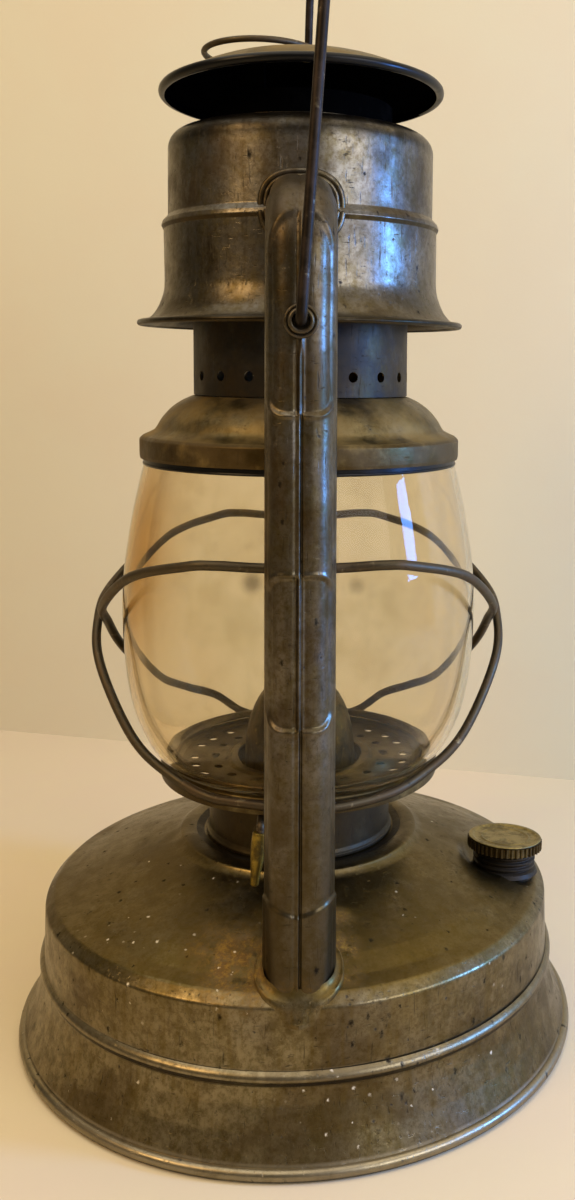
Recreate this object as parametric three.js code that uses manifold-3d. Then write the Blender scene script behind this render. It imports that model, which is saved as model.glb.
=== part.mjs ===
// Hurricane lantern: a flared fuel fount, two side tubes that feed cold air from the canopy,
// a short glass globe between its plate and its holder, and a carrying bail.
// Lengths are in millimetres, +Z is up, and the origin is the centre of the foot on the table.
// The side tubes stand at -Y (front) and +Y (rear).

import * as THREE from 'three';
import { mergeVertices } from 'three/addons/utils/BufferGeometryUtils.js';
import Module from 'manifold-3d';

const wasm = await Module();
wasm.setup();

// Sheet and fits
const sheet = 0.8;              // pressed tin-plate wall
const fitGap = 0.35;            // clearance between pieces that touch
const slideGap = 0.5;           // clearance of a piece that slides or turns
const cutOver = 4;              // overrun of every cut

// Facets
const roundSteps = 32;          // round a large pressing
const smallSteps = 20;          // round a small turned piece
const boreSteps = 12;           // round a bore or a small shaft
const wireSides = 6;            // round a wire
const rollSides = 6;            // round a rolled edge

// Fount
const skirtHeight = 27.9;       // table to the seam between skirt and wall
const skirtFlare = 7.7;         // how far the foot stands out past the shoulder
const rimRoll = 1.7;            // radius of the rolled foot rim
const beadRoll = 1.3;           // radius of the bead above the skirt
const beadStand = 1;            // how far the bead's centre stands off the shoulder radius
const wallHeight = 17.6;        // seam to shoulder
const wallFlare = 0.5;          // how much wider the wall is at the bead
const shoulderRound = 4.5;      // rounding radius of the shoulder
const shoulderTurn = 70;        // degrees that the rounding turns
const shoulderSteps = 3;
const skirtWaistShare = 0.42;   // of the skirt's height and flare, at its hollow
const bottomFlareShare = 0.62;  // of the skirt's flare, where the bottom sits
const domeRise = 21;            // shoulder to the seat of the air collar
const domeBeadInset = 6.5;      // dome bead outside the air collar
const domeBeadRoll = 1.5;
const collarSeatWidth = 5;      // flat round the air collar
const bottomInset = 9;          // height of the fount bottom above the table
const bottomFlange = 5;
const chamberDepth = 10;        // air space between dome and chamber floor
const chamberFlange = 5;
const chamberDrop = 7;          // chamber floor's edge below the shoulder

// Globe
const globeFootRadius = 45.5;
const globeBellyRadius = 62.3;
const globeMouthRadius = 53.7;
const globeHeight = 111.8;
const globeFootRise = 2.6;      // straight foot below the outline's swell
const globeBellyShare = 0.49;   // belly height as a share of the globe's height
const glassWall = 2;
const globeLowerPower = 0.6;    // roundness of the outline below the belly
const globeUpperPower = 1.6;    // roundness of the outline above it
const globeLowerSteps = 5;
const globeUpperSteps = 4;

// Globe plate and air collar
const airCollarRadius = 32.5;
const airCollarHeight = 25;
const airCollarFlange = 1;
const plateMargin = 4;          // plate rim outside the globe's foot
const plateRimDrop = 4;
const plateRidgeRise = 2;
const plateRidgeWidth = 1.2;
const plateHoleCount = 12;
const plateHoleRadius = 2.4;
const plateHoleInset = 7.5;     // hole circle inside the globe's foot

// Globe holder and chimney
const seatThickness = 2;
const seatWall = 0.65;
const seatSkirt = 6.5;
const seatLedge = 3.5;
const bandHeight = 7.6;
const holderStep = 5.4;         // ledge between band and holder dome
const holderStepRise = 2.2;
const holderRise = 11.6;        // ledge to the chimney's foot
const holderPower = 1.3;
const holderSteps = 4;
const chimneyLane = 9.66;       // chimney inside the canopy drum
const chimneyShow = 24.8;       // chimney between holder and canopy lip
const chimneyNeckStep = 6.1;    // how much narrower the neck is
const chimneyHoleCount = 20;
const chimneyHoleRadius = 1.75;
const chimneyHoleHeight = 6.6;
const neckTaper = 13;
const neckShow = 9.5;          // neck above the canopy

// Canopy
const lipClearance = 9.4;       // canopy lip to the side tube
const lipFlare = 8.5;
const lipFlareHeight = 11.5;
const lipRoll = 1;
const lowerDrum = 20.8;
const stepBead = 0.9;
const stepInset = 1.5;
const stepHeight = 3.4;
const stepBeadShare = 0.3;      // of the step's height, at the bead's edge
const upperDrum = 22.6;
const crownRise = 6.2;
const crownInset = 6;
const crownCollar = 1.8;
const flareSteps = 3;
const crownSteps = 3;

// Rain cap and its ring
const capOverhang = 1.9;        // cap outside the canopy drum
const capRoll = 1.6;
const capGap = 13.7;            // canopy top to the cap's rim
const capCrown = 11.6;
const capPower = 2.55;
const capSteps = 5;
const strutWidth = 6;
const strutReach = 6;
const strutCount = 3;
const strutTopShare = 1.2;      // of the sheet, under the sloping cap
const ringRadius = 19.4;
const ringWire = 0.85;
const ringOffset = 5.5;         // ring hinge from the cap's centre
const ringRise = 1.25;
const stapleWidth = 3.2;
const stapleWall = 0.9;
const stapleFoot = 5.2;

// Side tubes
const tubeWidth = 21;
const tubeDepth = 17;
const tubePower = 2.6;          // squareness of the tube's section
const tubeSides = 16;
const tubeLane = 4.9;           // globe belly to the tube
const tubeLean = 0.0236;        // inward lean, as a slope
const tubeFootMargin = 3;       // tube foot to the shoulder's edge
const footLip = 1.6;
const footLipHeight = 1.5;
const airHoleInset = 1.4;
const elbowRise = 17.5;
const elbowLead = 2;            // straight start of the elbow
const elbowSteps = 6;
const elbowReach = 4;           // elbow's end inside the canopy
const elbowCentreLift = 2.6;    // elbow's axis above the step bead's foot
const elbowWallShare = 0.2;     // of the tube's depth, from the drum to the bend's end
const tubeCollarWidth = 1.4;
const tubeCollarStand = 3;
const outerCollarWidth = 2.6;
const outerCollarStand = 1.4;

// Ears and bail
const earRadius = 4.9;
const earDepth = 4.3;
const earDrop = 1.8;            // ear below the canopy lip
const earHoleDepth = 3.6;
const earEdgeShares = [0.6, 0.82];      // of its depth and radius, at the turned edge
const bailWire = 1.65;
const bailLeg = 112;            // ear to the start of the arch
const bailLean = 2.6;           // degrees towards +X, as it stands
const bailTwist = 1.7;          // degrees that the arch's foot is twisted out of the ears' plane
const bailHookRound = 2.5;
const bailArchSteps = 22;
const bailLegSteps = 2;
const bailHookSteps = 4;

// Guard wires
const guardWire = 1.6;
const guardTubeGap = 1.4;
const guardCrossGap = 0.2;
const guardBulge = 8.3;         // outermost guard beyond the globe's belly
const guardLowShare = -0.016;   // heights as shares of the globe's height
const guardHighShare = 0.704;
const guardSteps = 44;
// Degrees from the low side, then shares of the way out and up, for half of a guard wire
const guardShares = [
  [0, 0, 0], [30, 0.03, 0.02], [50, 0.16, 0.08], [64, 0.5, 0.21], [78, 0.87, 0.47], [90, 0.96, 0.625],
  [105, 1, 0.745], [130, 0.99, 0.925], [150, 0.95, 1], [158, 0.88, 1.01],
];
const guardTubeTurns = [168, 180];      // degrees of the wire's run behind the tube

// Burner
const burnerTurn = 53.13;       // degrees from +X to the wick shaft
const burnerStep = 3.6;         // burner wall outside its screw
const burnerScrewDepth = 6;
const burnerHeight = 28.5;
const burnerHoleRadius = 2;
const burnerHoleRows = 4;
const burnerHoleLift = 7;
const screwRingWidth = 3.5;
const screwRingThickness = 1;
const coneSwell = 2.5;          // cone outside the burner wall
const coneSkirt = 5;
const coneHeight = 36;
const coneSlotShare = 0.33;     // of the cone's height, cut by the flame slot
// Shares of the cone's radius and height, up its outline
const coneShares = [[1, 0.12], [0.95, 0.45], [0.76, 0.75], [0.45, 0.95]];
const coneSlotLength = 26;
const coneSlotWidth = 7;
const wickWidth = 22;
const wickThickness = 2.4;
const wickTubeWall = 0.8;
const wickTubeTop = 6;          // cone top to wick tube top
const wickShow = 2;
const wickTubeReach = 8;        // wick tube below the burner's seat
const wickLength = 96;
const shaftRadius = 1.1;
const shaftLift = 18.5;         // wick shaft above the burner's seat
const shaftTail = 13;
const spurRadius = 4.2;
const spurRoot = 3;
const spurThickness = 1.6;
const spurTeeth = 10;
const spurSpread = 6;
const knobRadius = 7.5;
const knobThickness = 5;
const knobStand = 13;           // knob outside the air collar
const knobRibs = 20;
const knurlDepth = 0.5;

// Globe lift lever
const leverOffset = 12.3;       // lever shaft from the centre plane
const leverWire = 1.4;
const leverDrop = 5.2;          // lever shaft below the plate
const leverOut = 21;            // lever shaft outside the air collar
const crankLength = 18;
const crankInset = 7;           // crank inside the air collar
const fingerLength = 18.2;
const fingerHub = 2.6;
const fingerTip = 1.9;
const fingerLean = 6;           // degrees that its tip hangs towards -X
const fingerThickness = 3;
const lugWidth = 3;
const lugLength = 9;

// Filler
const fillerInset = 15;         // filler inside the shoulder radius
const fillerTurn = -8.2;        // degrees from +X
const fillerTilt = 1.5;         // degrees outwards
const fillerSideTilt = 3.5;     // degrees towards +Y
const neckRadius = 10.6;
const neckStand = 8;
const neckReach = 16;
const neckWall = 0.9;
const gasketThickness = 0.8;
const fillerCapRadius = 13.5;
const fillerCapSkirt = 4.2;
const fillerCapLid = 0.9;
const fillerCapRibs = 40;

// Derived places, from the table up
const shoulderZ = skirtHeight + wallHeight;
const seatZ = shoulderZ + domeRise;
const collarTopZ = seatZ + fitGap + airCollarHeight;
const plateZ = collarTopZ + fitGap + sheet;
const globeZ = plateZ + fitGap;
const bellyZ = globeZ + globeHeight * globeBellyShare;
const globeTopZ = globeZ + globeHeight;
const bandTopZ = globeTopZ + fitGap + seatThickness + fitGap + sheet;
const holderTopZ = bandTopZ + holderRise + holderStepRise;
const lipZ = holderTopZ + chimneyShow;
const drumZ = lipZ + lipFlareHeight;
const stepZ = drumZ + lowerDrum;
const upperZ = stepZ + stepHeight;
const crownZ = upperZ + upperDrum;
const canopyTopZ = crownZ + crownRise;
const capRimZ = canopyTopZ + capGap;
const capTopZ = capRimZ + capCrown + capRoll / 2;
const ringZ = capTopZ + ringRise;
const elbowCentreZ = stepZ + elbowCentreLift;
const elbowStartZ = elbowCentreZ - elbowRise;
const earZ = lipZ - earDrop;

// Derived radii: the tubes clear the globe, and the fount and the canopy follow the tubes
const tubeCentreAt = (z) => globeBellyRadius + tubeLane + tubeDepth / 2 + (bellyZ - z) * tubeLean;
const tubeFootCentre = tubeCentreAt(shoulderZ);
const shoulderRadius = tubeFootCentre + tubeDepth / 2 + tubeFootMargin;
const footRadius = shoulderRadius + skirtFlare;
const lipRadius = tubeCentreAt(lipZ) - tubeDepth / 2 - lipClearance;
const drumRadius = lipRadius - lipFlare;
const chimneyRadius = drumRadius - chimneyLane;
const upperRadius = drumRadius - stepInset;
const stackNeckRadius = chimneyRadius - chimneyNeckStep;
const crownHoleRadius = stackNeckRadius + slideGap;
const capRadius = drumRadius + capOverhang;
const plateRadius = globeFootRadius + plateMargin;
const seatRadius = globeMouthRadius + fitGap + seatWall;
const bandRadius = seatRadius + fitGap + sheet;
const wickTubeDepth = wickThickness + 2 * (wickTubeWall + fitGap);
const wickTubeWidth = wickWidth + 2 * (wickTubeWall + fitGap);
const burnerScrewRadius = Math.hypot(wickTubeWidth, wickTubeDepth) / 2 + fitGap * 2 + sheet;
const burnerRadius = burnerScrewRadius + burnerStep;
const coneRadius = burnerRadius + coneSwell;
const plateBoreRadius = coneRadius + slideGap * 2;
const domeBeadRadius = airCollarRadius + domeBeadInset;

const at = (r, z) => new THREE.Vector2(r, z);
const point3 = (x, y, z) => new THREE.Vector3(x, y, z);
const rad = THREE.MathUtils.degToRad;
const range = (count) => [...Array(count).keys()];

// Finishes
function finish(color, metalness, roughness) {
  return new THREE.MeshStandardMaterial({ color, metalness, roughness });
}

const tinplate = finish('#8a7f66', 0.9, 0.45);
const darkTin = finish('#4c4a44', 0.85, 0.55);
const sootTin = finish('#2a2724', 0.6, 0.7);
const rustyWire = finish('#5b4a36', 0.8, 0.6);
const brass = finish('#8f7a3a', 0.9, 0.4);
const clearGlass = new THREE.MeshStandardMaterial({
  color: '#e6e2cf', metalness: 0, roughness: 0.05, transparent: true, opacity: 0.35,
});
const cork = finish('#6b5138', 0, 0.9);
const cotton = finish('#cfc6ad', 0, 0.95);

// A closed geometry becomes a solid whose faces point outwards.
function solidOf(geometry) {
  const bare = geometry.clone();
  bare.deleteAttribute('normal');
  bare.deleteAttribute('uv');
  const merged = mergeVertices(bare, 1e-4);
  const places = merged.attributes.position.array;
  const corners = merged.index.array;
  const kept = [];
  let volume = 0;
  for (let i = 0; i < corners.length; i += 3) {
    const [a, b, c] = [corners[i], corners[i + 1], corners[i + 2]];
    if (a === b || b === c || a === c) continue;
    kept.push(a, b, c);
    const [p, q, s] = [a, b, c].map((k) => new THREE.Vector3().fromArray(places, 3 * k));
    volume += p.dot(q.cross(s));
  }
  if (volume < 0) kept.reverse();
  return new wasm.Manifold(new wasm.Mesh({
    numProp: 3, vertProperties: Float32Array.from(places), triVerts: Uint32Array.from(kept),
  }));
}

// A solid becomes a named mesh of the scene.
function piece(name, solid, material) {
  const { vertProperties, numProp, triVerts } = solid.getMesh();
  const places = new Float32Array((vertProperties.length / numProp) * 3);
  for (let i = 0; i < places.length / 3; i++) {
    places.set(vertProperties.subarray(i * numProp, i * numProp + 3), i * 3);
  }
  const geometry = new THREE.BufferGeometry();
  geometry.setAttribute('position', new THREE.BufferAttribute(places, 3));
  geometry.setIndex(new THREE.BufferAttribute(Uint32Array.from(triVerts), 1));
  geometry.computeVertexNormals();
  const mesh = new THREE.Mesh(geometry, material);
  mesh.name = name;
  return mesh;
}

// Moves a profile to its left by a distance, with mitred corners.
function offsetProfile(points, distance) {
  return points.map((here, i) => {
    const into = points[Math.max(i, 1)].clone().sub(points[Math.max(i, 1) - 1]).normalize();
    const last = points.length - 2;
    const out = points[Math.min(i, last) + 1].clone().sub(points[Math.min(i, last)]).normalize();
    const middle = into.clone().add(out).normalize();
    const left = at(-middle.y, middle.x);
    return here.clone().addScaledVector(left, distance / middle.dot(into));
  });
}

// Turns a closed profile of radius and height round +Z.
function turned(profile, steps = roundSteps) {
  return new THREE.LatheGeometry([...profile, profile[0]], steps).rotateX(Math.PI / 2);
}

// A pressed shell: the profile is its outer face, listed with the wall on its left.
function shell(profile, wall = sheet, steps = roundSteps) {
  return solidOf(turned([...profile, ...offsetProfile(profile, wall).reverse()], steps));
}

// A ring with a round section, such as a rolled edge.
function roll(radius, z, rollRadius, steps = roundSteps) {
  const section = range(rollSides).map((i) => {
    const angle = (i / rollSides) * 2 * Math.PI;
    return at(radius + rollRadius * Math.cos(angle), z + rollRadius * Math.sin(angle));
  });
  return solidOf(turned(section, steps));
}

// A plain upright cylinder between two heights.
function rod(radius, low, high, steps = boreSteps) {
  return solidOf(new THREE.CylinderGeometry(radius, radius, high - low, steps)
    .rotateX(Math.PI / 2).translate(0, 0, (low + high) / 2));
}

// A block between two corners.
function block(low, high) {
  const size = high.clone().sub(low);
  const middle = low.clone().add(high).divideScalar(2);
  return solidOf(new THREE.BoxGeometry(size.x, size.y, size.z).translate(middle.x, middle.y, middle.z));
}

// Places a solid by a matrix, or turns it about an axis.
const placed = (solid, matrix) => solid.transform(matrix.elements);
const turn = (solid, x, y, z) => solid.rotate([x, y, z]);
const joined = (solids) => solids.reduce((sum, next) => sum.add(next));

// A path through given points, whose sections stand at the points themselves.
class WirePath extends THREE.Curve {
  constructor(points) {
    super();
    this.points = points;
  }

  getPoint(t, target = new THREE.Vector3()) {
    const place = t * (this.points.length - 1);
    const index = Math.min(Math.floor(place), this.points.length - 2);
    return target.lerpVectors(this.points[index], this.points[index + 1], place - index);
  }

  getTangent(t, target = new THREE.Vector3()) {
    const place = Math.round(t * (this.points.length - 1));
    const here = this.points[place];
    const before = this.points[place - 1] ?? here;
    const after = this.points[place + 1] ?? here;
    return target.copy(after).sub(here).normalize().add(here.clone().sub(before).normalize()).normalize();
  }

  getUtoTmapping(u) {
    return u;
  }
}

function polygon(points) {
  return new THREE.Shape(points.map(([x, y]) => new THREE.Vector2(x, y)));
}

function circleShape(radius, sides) {
  return polygon(range(sides).map((i) => {
    const angle = (i / sides) * 2 * Math.PI;
    return [radius * Math.cos(angle), radius * Math.sin(angle)];
  }));
}

// A section run along points.
function run(shape, points) {
  const path = new WirePath(points);
  return solidOf(new THREE.ExtrudeGeometry(shape, { steps: points.length - 1, extrudePath: path }));
}

const wire = (points, radius, sides = wireSides) => run(circleShape(radius, sides), points);

// A round outline with ribs, for knurled rims.
function knurled(radius, ribs, height) {
  const outline = polygon(range(ribs * 2).map((i) => {
    const reach = radius - (i % 2) * knurlDepth;
    const angle = (i / (ribs * 2)) * 2 * Math.PI;
    return [reach * Math.cos(angle), reach * Math.sin(angle)];
  }));
  return solidOf(new THREE.ExtrudeGeometry(outline, { depth: height, bevelEnabled: false }));
}

const lantern = new THREE.Group();

// Fount: dome and wall in one pressing, a flared skirt, a bottom and the floor of the air chamber

const roundCentre = shoulderRadius - shoulderRound;
const domeRound = range(shoulderSteps + 1).map((i) => {
  const angle = rad((shoulderTurn * i) / shoulderSteps);
  return at(roundCentre + shoulderRound * Math.cos(angle), shoulderZ + shoulderRound * Math.sin(angle));
});
const domeOuter = [
  at(shoulderRadius + wallFlare, skirtHeight),
  ...domeRound,
  at(domeBeadRadius, seatZ),
  at(airCollarRadius + collarSeatWidth, seatZ),
  at(airCollarRadius - collarSeatWidth / 2, seatZ),
];

// Height of the dome's outer face at a radius.
function domeHeightAt(radius) {
  const slope = domeOuter.slice(1);
  const next = slope.findIndex((p) => p.x <= radius);
  const [outer, inner] = [slope[next - 1], slope[next]];
  return outer.y + ((inner.y - outer.y) * (outer.x - radius)) / (outer.x - inner.x);
}

const domeGrown = offsetProfile(domeOuter, -fitGap);
const domeBlank = solidOf(turned([
  at(0, 0),
  at(domeGrown[0].x, 0),
  ...domeGrown,
  at(0, domeGrown.at(-1).y),
]));

const skirtOuter = [
  at(footRadius, rimRoll),
  at(shoulderRadius + beadStand + skirtFlare * skirtWaistShare, skirtHeight * skirtWaistShare),
  at(shoulderRadius + beadStand, skirtHeight - fitGap),
];
const bottomRadius = shoulderRadius + skirtFlare * bottomFlareShare - sheet - fitGap;
const chamberRadius = shoulderRadius - sheet - fitGap;
const chamberEdgeZ = shoulderZ - chamberDrop;
const chamberZ = seatZ - chamberDepth;
const screwRingRadius = burnerScrewRadius + fitGap + screwRingWidth;
const chamberBore = burnerScrewRadius + fitGap * 2 + sheet;

// Side tube: section, upright and elbow, drawn for the front tube

function tubeSection(grow) {
  return polygon(range(tubeSides).map((i) => {
    const angle = (i / tubeSides) * 2 * Math.PI;
    const [c, s] = [Math.cos(angle), Math.sin(angle)];
    return [
      (tubeWidth / 2 + grow) * Math.sign(c) * Math.abs(c) ** (2 / tubePower),
      (tubeDepth / 2 + grow) * Math.sign(s) * Math.abs(s) ** (2 / tubePower),
    ];
  }));
}

const tubeFootZ = shoulderZ - cutOver;
const tubePoint = (z) => point3(0, -tubeCentreAt(z), z);
const uprightPath = [tubePoint(tubeFootZ), tubePoint(elbowStartZ - fitGap)];
const elbowTop = tubeCentreAt(elbowStartZ + elbowLead);
const elbowWall = drumRadius + tubeDepth * elbowWallShare;
const elbowBend = range(elbowSteps + 1).map((i) => {
  const angle = (i / elbowSteps) * (Math.PI / 2);
  return point3(
    0,
    -(elbowWall + (elbowTop - elbowWall) * Math.cos(angle)),
    elbowStartZ + elbowLead + (elbowRise - elbowLead) * Math.sin(angle),
  );
});
const elbowEnd = point3(0, -(upperRadius - elbowReach), elbowCentreZ);
const elbowPath = [tubePoint(elbowStartZ), ...elbowBend, elbowEnd];
const hollowRun = (path, ends) => {
  const outer = run(tubeSection(0), path);
  return outer.subtract(run(tubeSection(-sheet), ends));
};

// The bore runs past both ends of its tube.
function pastEnds(path) {
  const first = path[0].clone().sub(path[1]).normalize().multiplyScalar(cutOver).add(path[0]);
  const last = path.at(-1).clone().sub(path.at(-2)).normalize().multiplyScalar(cutOver).add(path.at(-1));
  return [first, ...path, last];
}

const upright = hollowRun(uprightPath, pastEnds(uprightPath)).subtract(domeBlank);
const elbow = hollowRun(elbowPath, pastEnds(elbowPath));
const footBand = solidOf(turned([
  at(0, 0),
  at(domeGrown[0].x, 0),
  ...offsetProfile(domeOuter, -fitGap - footLipHeight),
  at(0, domeGrown.at(-1).y + footLipHeight),
])).subtract(domeBlank);
const footFlange = run(tubeSection(fitGap + footLip), pastEnds(uprightPath))
  .intersect(footBand)
  .subtract(run(tubeSection(fitGap), pastEnds(uprightPath)));

// Canopy: a flared lip, two drums with a step bead between them, and a rounded crown

const lipCurve = range(flareSteps + 1).map((i) => {
  const angle = (i / flareSteps) * (Math.PI / 2);
  return at(lipRadius - lipFlare * Math.sin(angle), lipZ + lipFlareHeight * (1 - Math.cos(angle)));
});
const crownCurve = range(crownSteps + 1).map((i) => {
  const angle = (i / crownSteps) * (Math.PI / 2);
  return at(upperRadius - crownInset + crownInset * Math.cos(angle), crownZ + crownRise * Math.sin(angle));
});
const canopyOuter = [
  ...lipCurve,
  at(drumRadius, stepZ),
  at(drumRadius + stepBead, stepZ + stepHeight * stepBeadShare),
  at(upperRadius, upperZ),
  ...crownCurve,
  at(crownHoleRadius + sheet * 2, canopyTopZ),
  at(crownHoleRadius + sheet, canopyTopZ + crownCollar),
];
const canopyGrown = offsetProfile(canopyOuter.slice(flareSteps), -fitGap);
const canopyBlank = solidOf(turned([
  at(0, canopyGrown[0].y),
  ...canopyGrown,
  at(0, canopyGrown.at(-1).y),
]));
const elbowHole = run(tubeSection(fitGap), elbowPath);
const bothSides = (solid) => solid.add(turn(solid, 0, 0, 180));

const tubeCollar = joined([[tubeCollarWidth, tubeCollarStand], [outerCollarWidth, outerCollarStand]]
  .map(([width, stand]) => run(tubeSection(fitGap + width), elbowPath)
    .intersect(rod(drumRadius + stand, drumZ, crownZ, roundSteps))))
  .subtract(canopyBlank)
  .subtract(elbowHole);

lantern.add(piece('canopy', shell(canopyOuter)
  .add(roll(lipRadius, lipZ, lipRoll))
  .subtract(bothSides(elbowHole)), tinplate));

// Air collar with the wick shaft's and the lever's holes

const burnerFrame = new THREE.Group();
burnerFrame.rotation.z = rad(burnerTurn);
burnerFrame.updateMatrix();
const burnerSeatZ = chamberZ + fitGap + screwRingThickness + fitGap;
const shaftZ = burnerSeatZ + shaftLift;
const shaftSide = wickThickness / 2 + fitGap + spurRadius;
const alongX = (radius, low, high, sides = boreSteps) => turn(rod(radius, low, high, sides), 0, 90, 0);
const shaftBar = (radius, low, high) => alongX(radius, low, high).translate([0, shaftSide, shaftZ]);

const leverZ = plateZ - sheet - leverDrop;
const leverEnd = -(airCollarRadius + leverOut);
const crankY = -(airCollarRadius - crankInset);
const leverHole = turn(rod(leverWire + fitGap, -crankY, -leverEnd), 90, 0, 0)
  .translate([-leverOffset, 0, leverZ]);
const collarOuter = [
  at(airCollarRadius + airCollarFlange, seatZ + fitGap),
  at(airCollarRadius + airCollarFlange, seatZ + fitGap + sheet),
  at(airCollarRadius, seatZ + fitGap + sheet * 2),
  at(airCollarRadius, collarTopZ),
  at(airCollarRadius - sheet, collarTopZ),
  at(airCollarRadius - sheet, seatZ + fitGap),
];
lantern.add(piece('air_collar', solidOf(turned(collarOuter))
  .subtract(placed(shaftBar(shaftRadius + fitGap, 0, airCollarRadius + cutOver), burnerFrame.matrix))
  .subtract(leverHole), darkTin));

// Filler: neck, cork gasket and knurled screw cap, on a tilted axis

const fillerFrame = new THREE.Group();
const fillerRadius = shoulderRadius - fillerInset;
const fillerAngle = rad(fillerTurn);
fillerFrame.position.set(
  fillerRadius * Math.cos(fillerAngle),
  fillerRadius * Math.sin(fillerAngle),
  domeHeightAt(fillerRadius),
);
fillerFrame.rotation.set(-rad(fillerSideTilt), rad(fillerTilt), fillerAngle, 'ZYX');
fillerFrame.updateMatrix();
const neckHole = placed(
  rod(neckRadius + fitGap, -neckReach - cutOver, neckStand, smallSteps),
  fillerFrame.matrix,
);
const gasketZ = neckStand + fitGap;
const lidZ = gasketZ + gasketThickness + fitGap;
const capBaseZ = lidZ + fillerCapLid - fillerCapSkirt;
const gasketRadius = neckRadius + fitGap / 2;
fillerFrame.add(
  piece('filler_neck', rod(neckRadius, -neckReach, neckStand, smallSteps)
    .subtract(rod(neckRadius - neckWall, -neckReach - cutOver, neckStand + cutOver, smallSteps)), tinplate),
  piece('filler_gasket', rod(gasketRadius, gasketZ, gasketZ + gasketThickness, smallSteps)
    .subtract(rod(neckRadius - neckWall * 2, gasketZ - cutOver, lidZ + cutOver, smallSteps)), cork),
  piece('filler_cap', knurled(fillerCapRadius, fillerCapRibs, fillerCapSkirt).translate([0, 0, capBaseZ])
    .subtract(rod(neckRadius + slideGap, capBaseZ - cutOver, lidZ, smallSteps)), tinplate),
);
lantern.add(fillerFrame);

const airHole = run(tubeSection(-sheet - airHoleInset), pastEnds(uprightPath));
lantern.add(
  piece('fount_dome', shell(domeOuter)
    .add(roll(domeBeadRadius, seatZ, domeBeadRoll))
    .subtract(bothSides(airHole))
    .subtract(neckHole), tinplate),
  piece('fount_skirt', shell(skirtOuter)
    .add(roll(footRadius, rimRoll, rimRoll / Math.cos(Math.PI / rollSides)))
    .add(roll(shoulderRadius + beadStand, skirtHeight - fitGap - beadRoll, beadRoll)), tinplate),
  piece('fount_bottom', shell([
    at(bottomRadius, bottomInset - bottomFlange),
    at(bottomRadius, bottomInset + sheet),
    at(0, bottomInset + sheet),
  ]), darkTin),
  piece('air_chamber_floor', shell([
    at(chamberRadius, chamberEdgeZ - chamberFlange),
    at(chamberRadius, chamberEdgeZ),
    at(domeBeadRadius, chamberZ),
    at(chamberBore, chamberZ),
  ]).subtract(neckHole), darkTin),
  piece('burner_screw_ring', solidOf(turned([
    at(burnerScrewRadius + fitGap, chamberZ - burnerScrewDepth),
    at(burnerScrewRadius + fitGap + sheet, chamberZ - burnerScrewDepth),
    at(burnerScrewRadius + fitGap + sheet, chamberZ + fitGap),
    at(screwRingRadius, chamberZ + fitGap),
    at(screwRingRadius, chamberZ + fitGap + screwRingThickness),
    at(burnerScrewRadius + fitGap, chamberZ + fitGap + screwRingThickness),
  ], smallSteps)), brass),
);

// The two side tubes with their collars and ears

const earFaceY = tubeCentreAt(earZ) + tubeDepth / 2 + fitGap;
const earHoleRadius = bailWire + slideGap;
const ear = turn(solidOf(turned([
  at(0, 0),
  at(earRadius, 0),
  at(earRadius, earDepth * earEdgeShares[0]),
  at(earRadius * earEdgeShares[1], earDepth),
  at(earHoleRadius, earDepth),
  at(earHoleRadius, earDepth - earHoleDepth),
  at(0, earDepth - earHoleDepth),
], smallSteps)), 90, 0, 0);
for (const [side, angle] of [['front', 0], ['rear', Math.PI]]) {
  const group = new THREE.Group();
  const earMesh = piece(`ear_${side}`, ear, tinplate);
  earMesh.position.set(0, -earFaceY, earZ);
  group.rotation.z = angle;
  group.add(
    piece(`tube_${side}`, upright, tinplate),
    piece(`elbow_${side}`, elbow, tinplate),
    piece(`foot_flange_${side}`, footFlange, tinplate),
    piece(`tube_collar_${side}`, tubeCollar, tinplate),
    earMesh,
  );
  lantern.add(group);
}

// Bail: one wire, hooked inwards through both ears

const bailSide = earFaceY + earDepth + fitGap + bailWire;
const hookEnd = earFaceY + earDepth - earHoleDepth + slideGap;
const hookArc = range(bailHookSteps + 1).map((i) => {
  const angle = (i / bailHookSteps) * (Math.PI / 2);
  return point3(
    0,
    -(bailSide - bailHookRound + bailHookRound * Math.sin(angle)),
    bailHookRound * (1 - Math.cos(angle)),
  );
});
const bailLegPath = range(bailLegSteps).map((i) => (
  point3(0, -bailSide, bailHookRound + ((bailLeg - bailHookRound) * (i + 1)) / (bailLegSteps + 1))
));
const bailHalf = [point3(0, -hookEnd, 0), ...hookArc, ...bailLegPath];
const bailArch = range(bailArchSteps + 1).map((i) => {
  const angle = (i / bailArchSteps) * Math.PI;
  return point3(0, -bailSide * Math.cos(angle), bailLeg + bailSide * Math.sin(angle));
});
const bailOther = bailHalf.map((p) => point3(0, -p.y, p.z)).reverse();
const bailTwisted = [...bailHalf, ...bailArch, ...bailOther].map((p) => (
  p.applyAxisAngle(point3(0, 0, 1), rad((bailTwist * p.z) / bailLeg))
));
const bail = piece('bail', wire(bailTwisted, bailWire), rustyWire);
bail.position.z = earZ;
bail.rotation.y = rad(bailLean);
lantern.add(bail);

// Globe, its plate and the two guard wires

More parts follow.
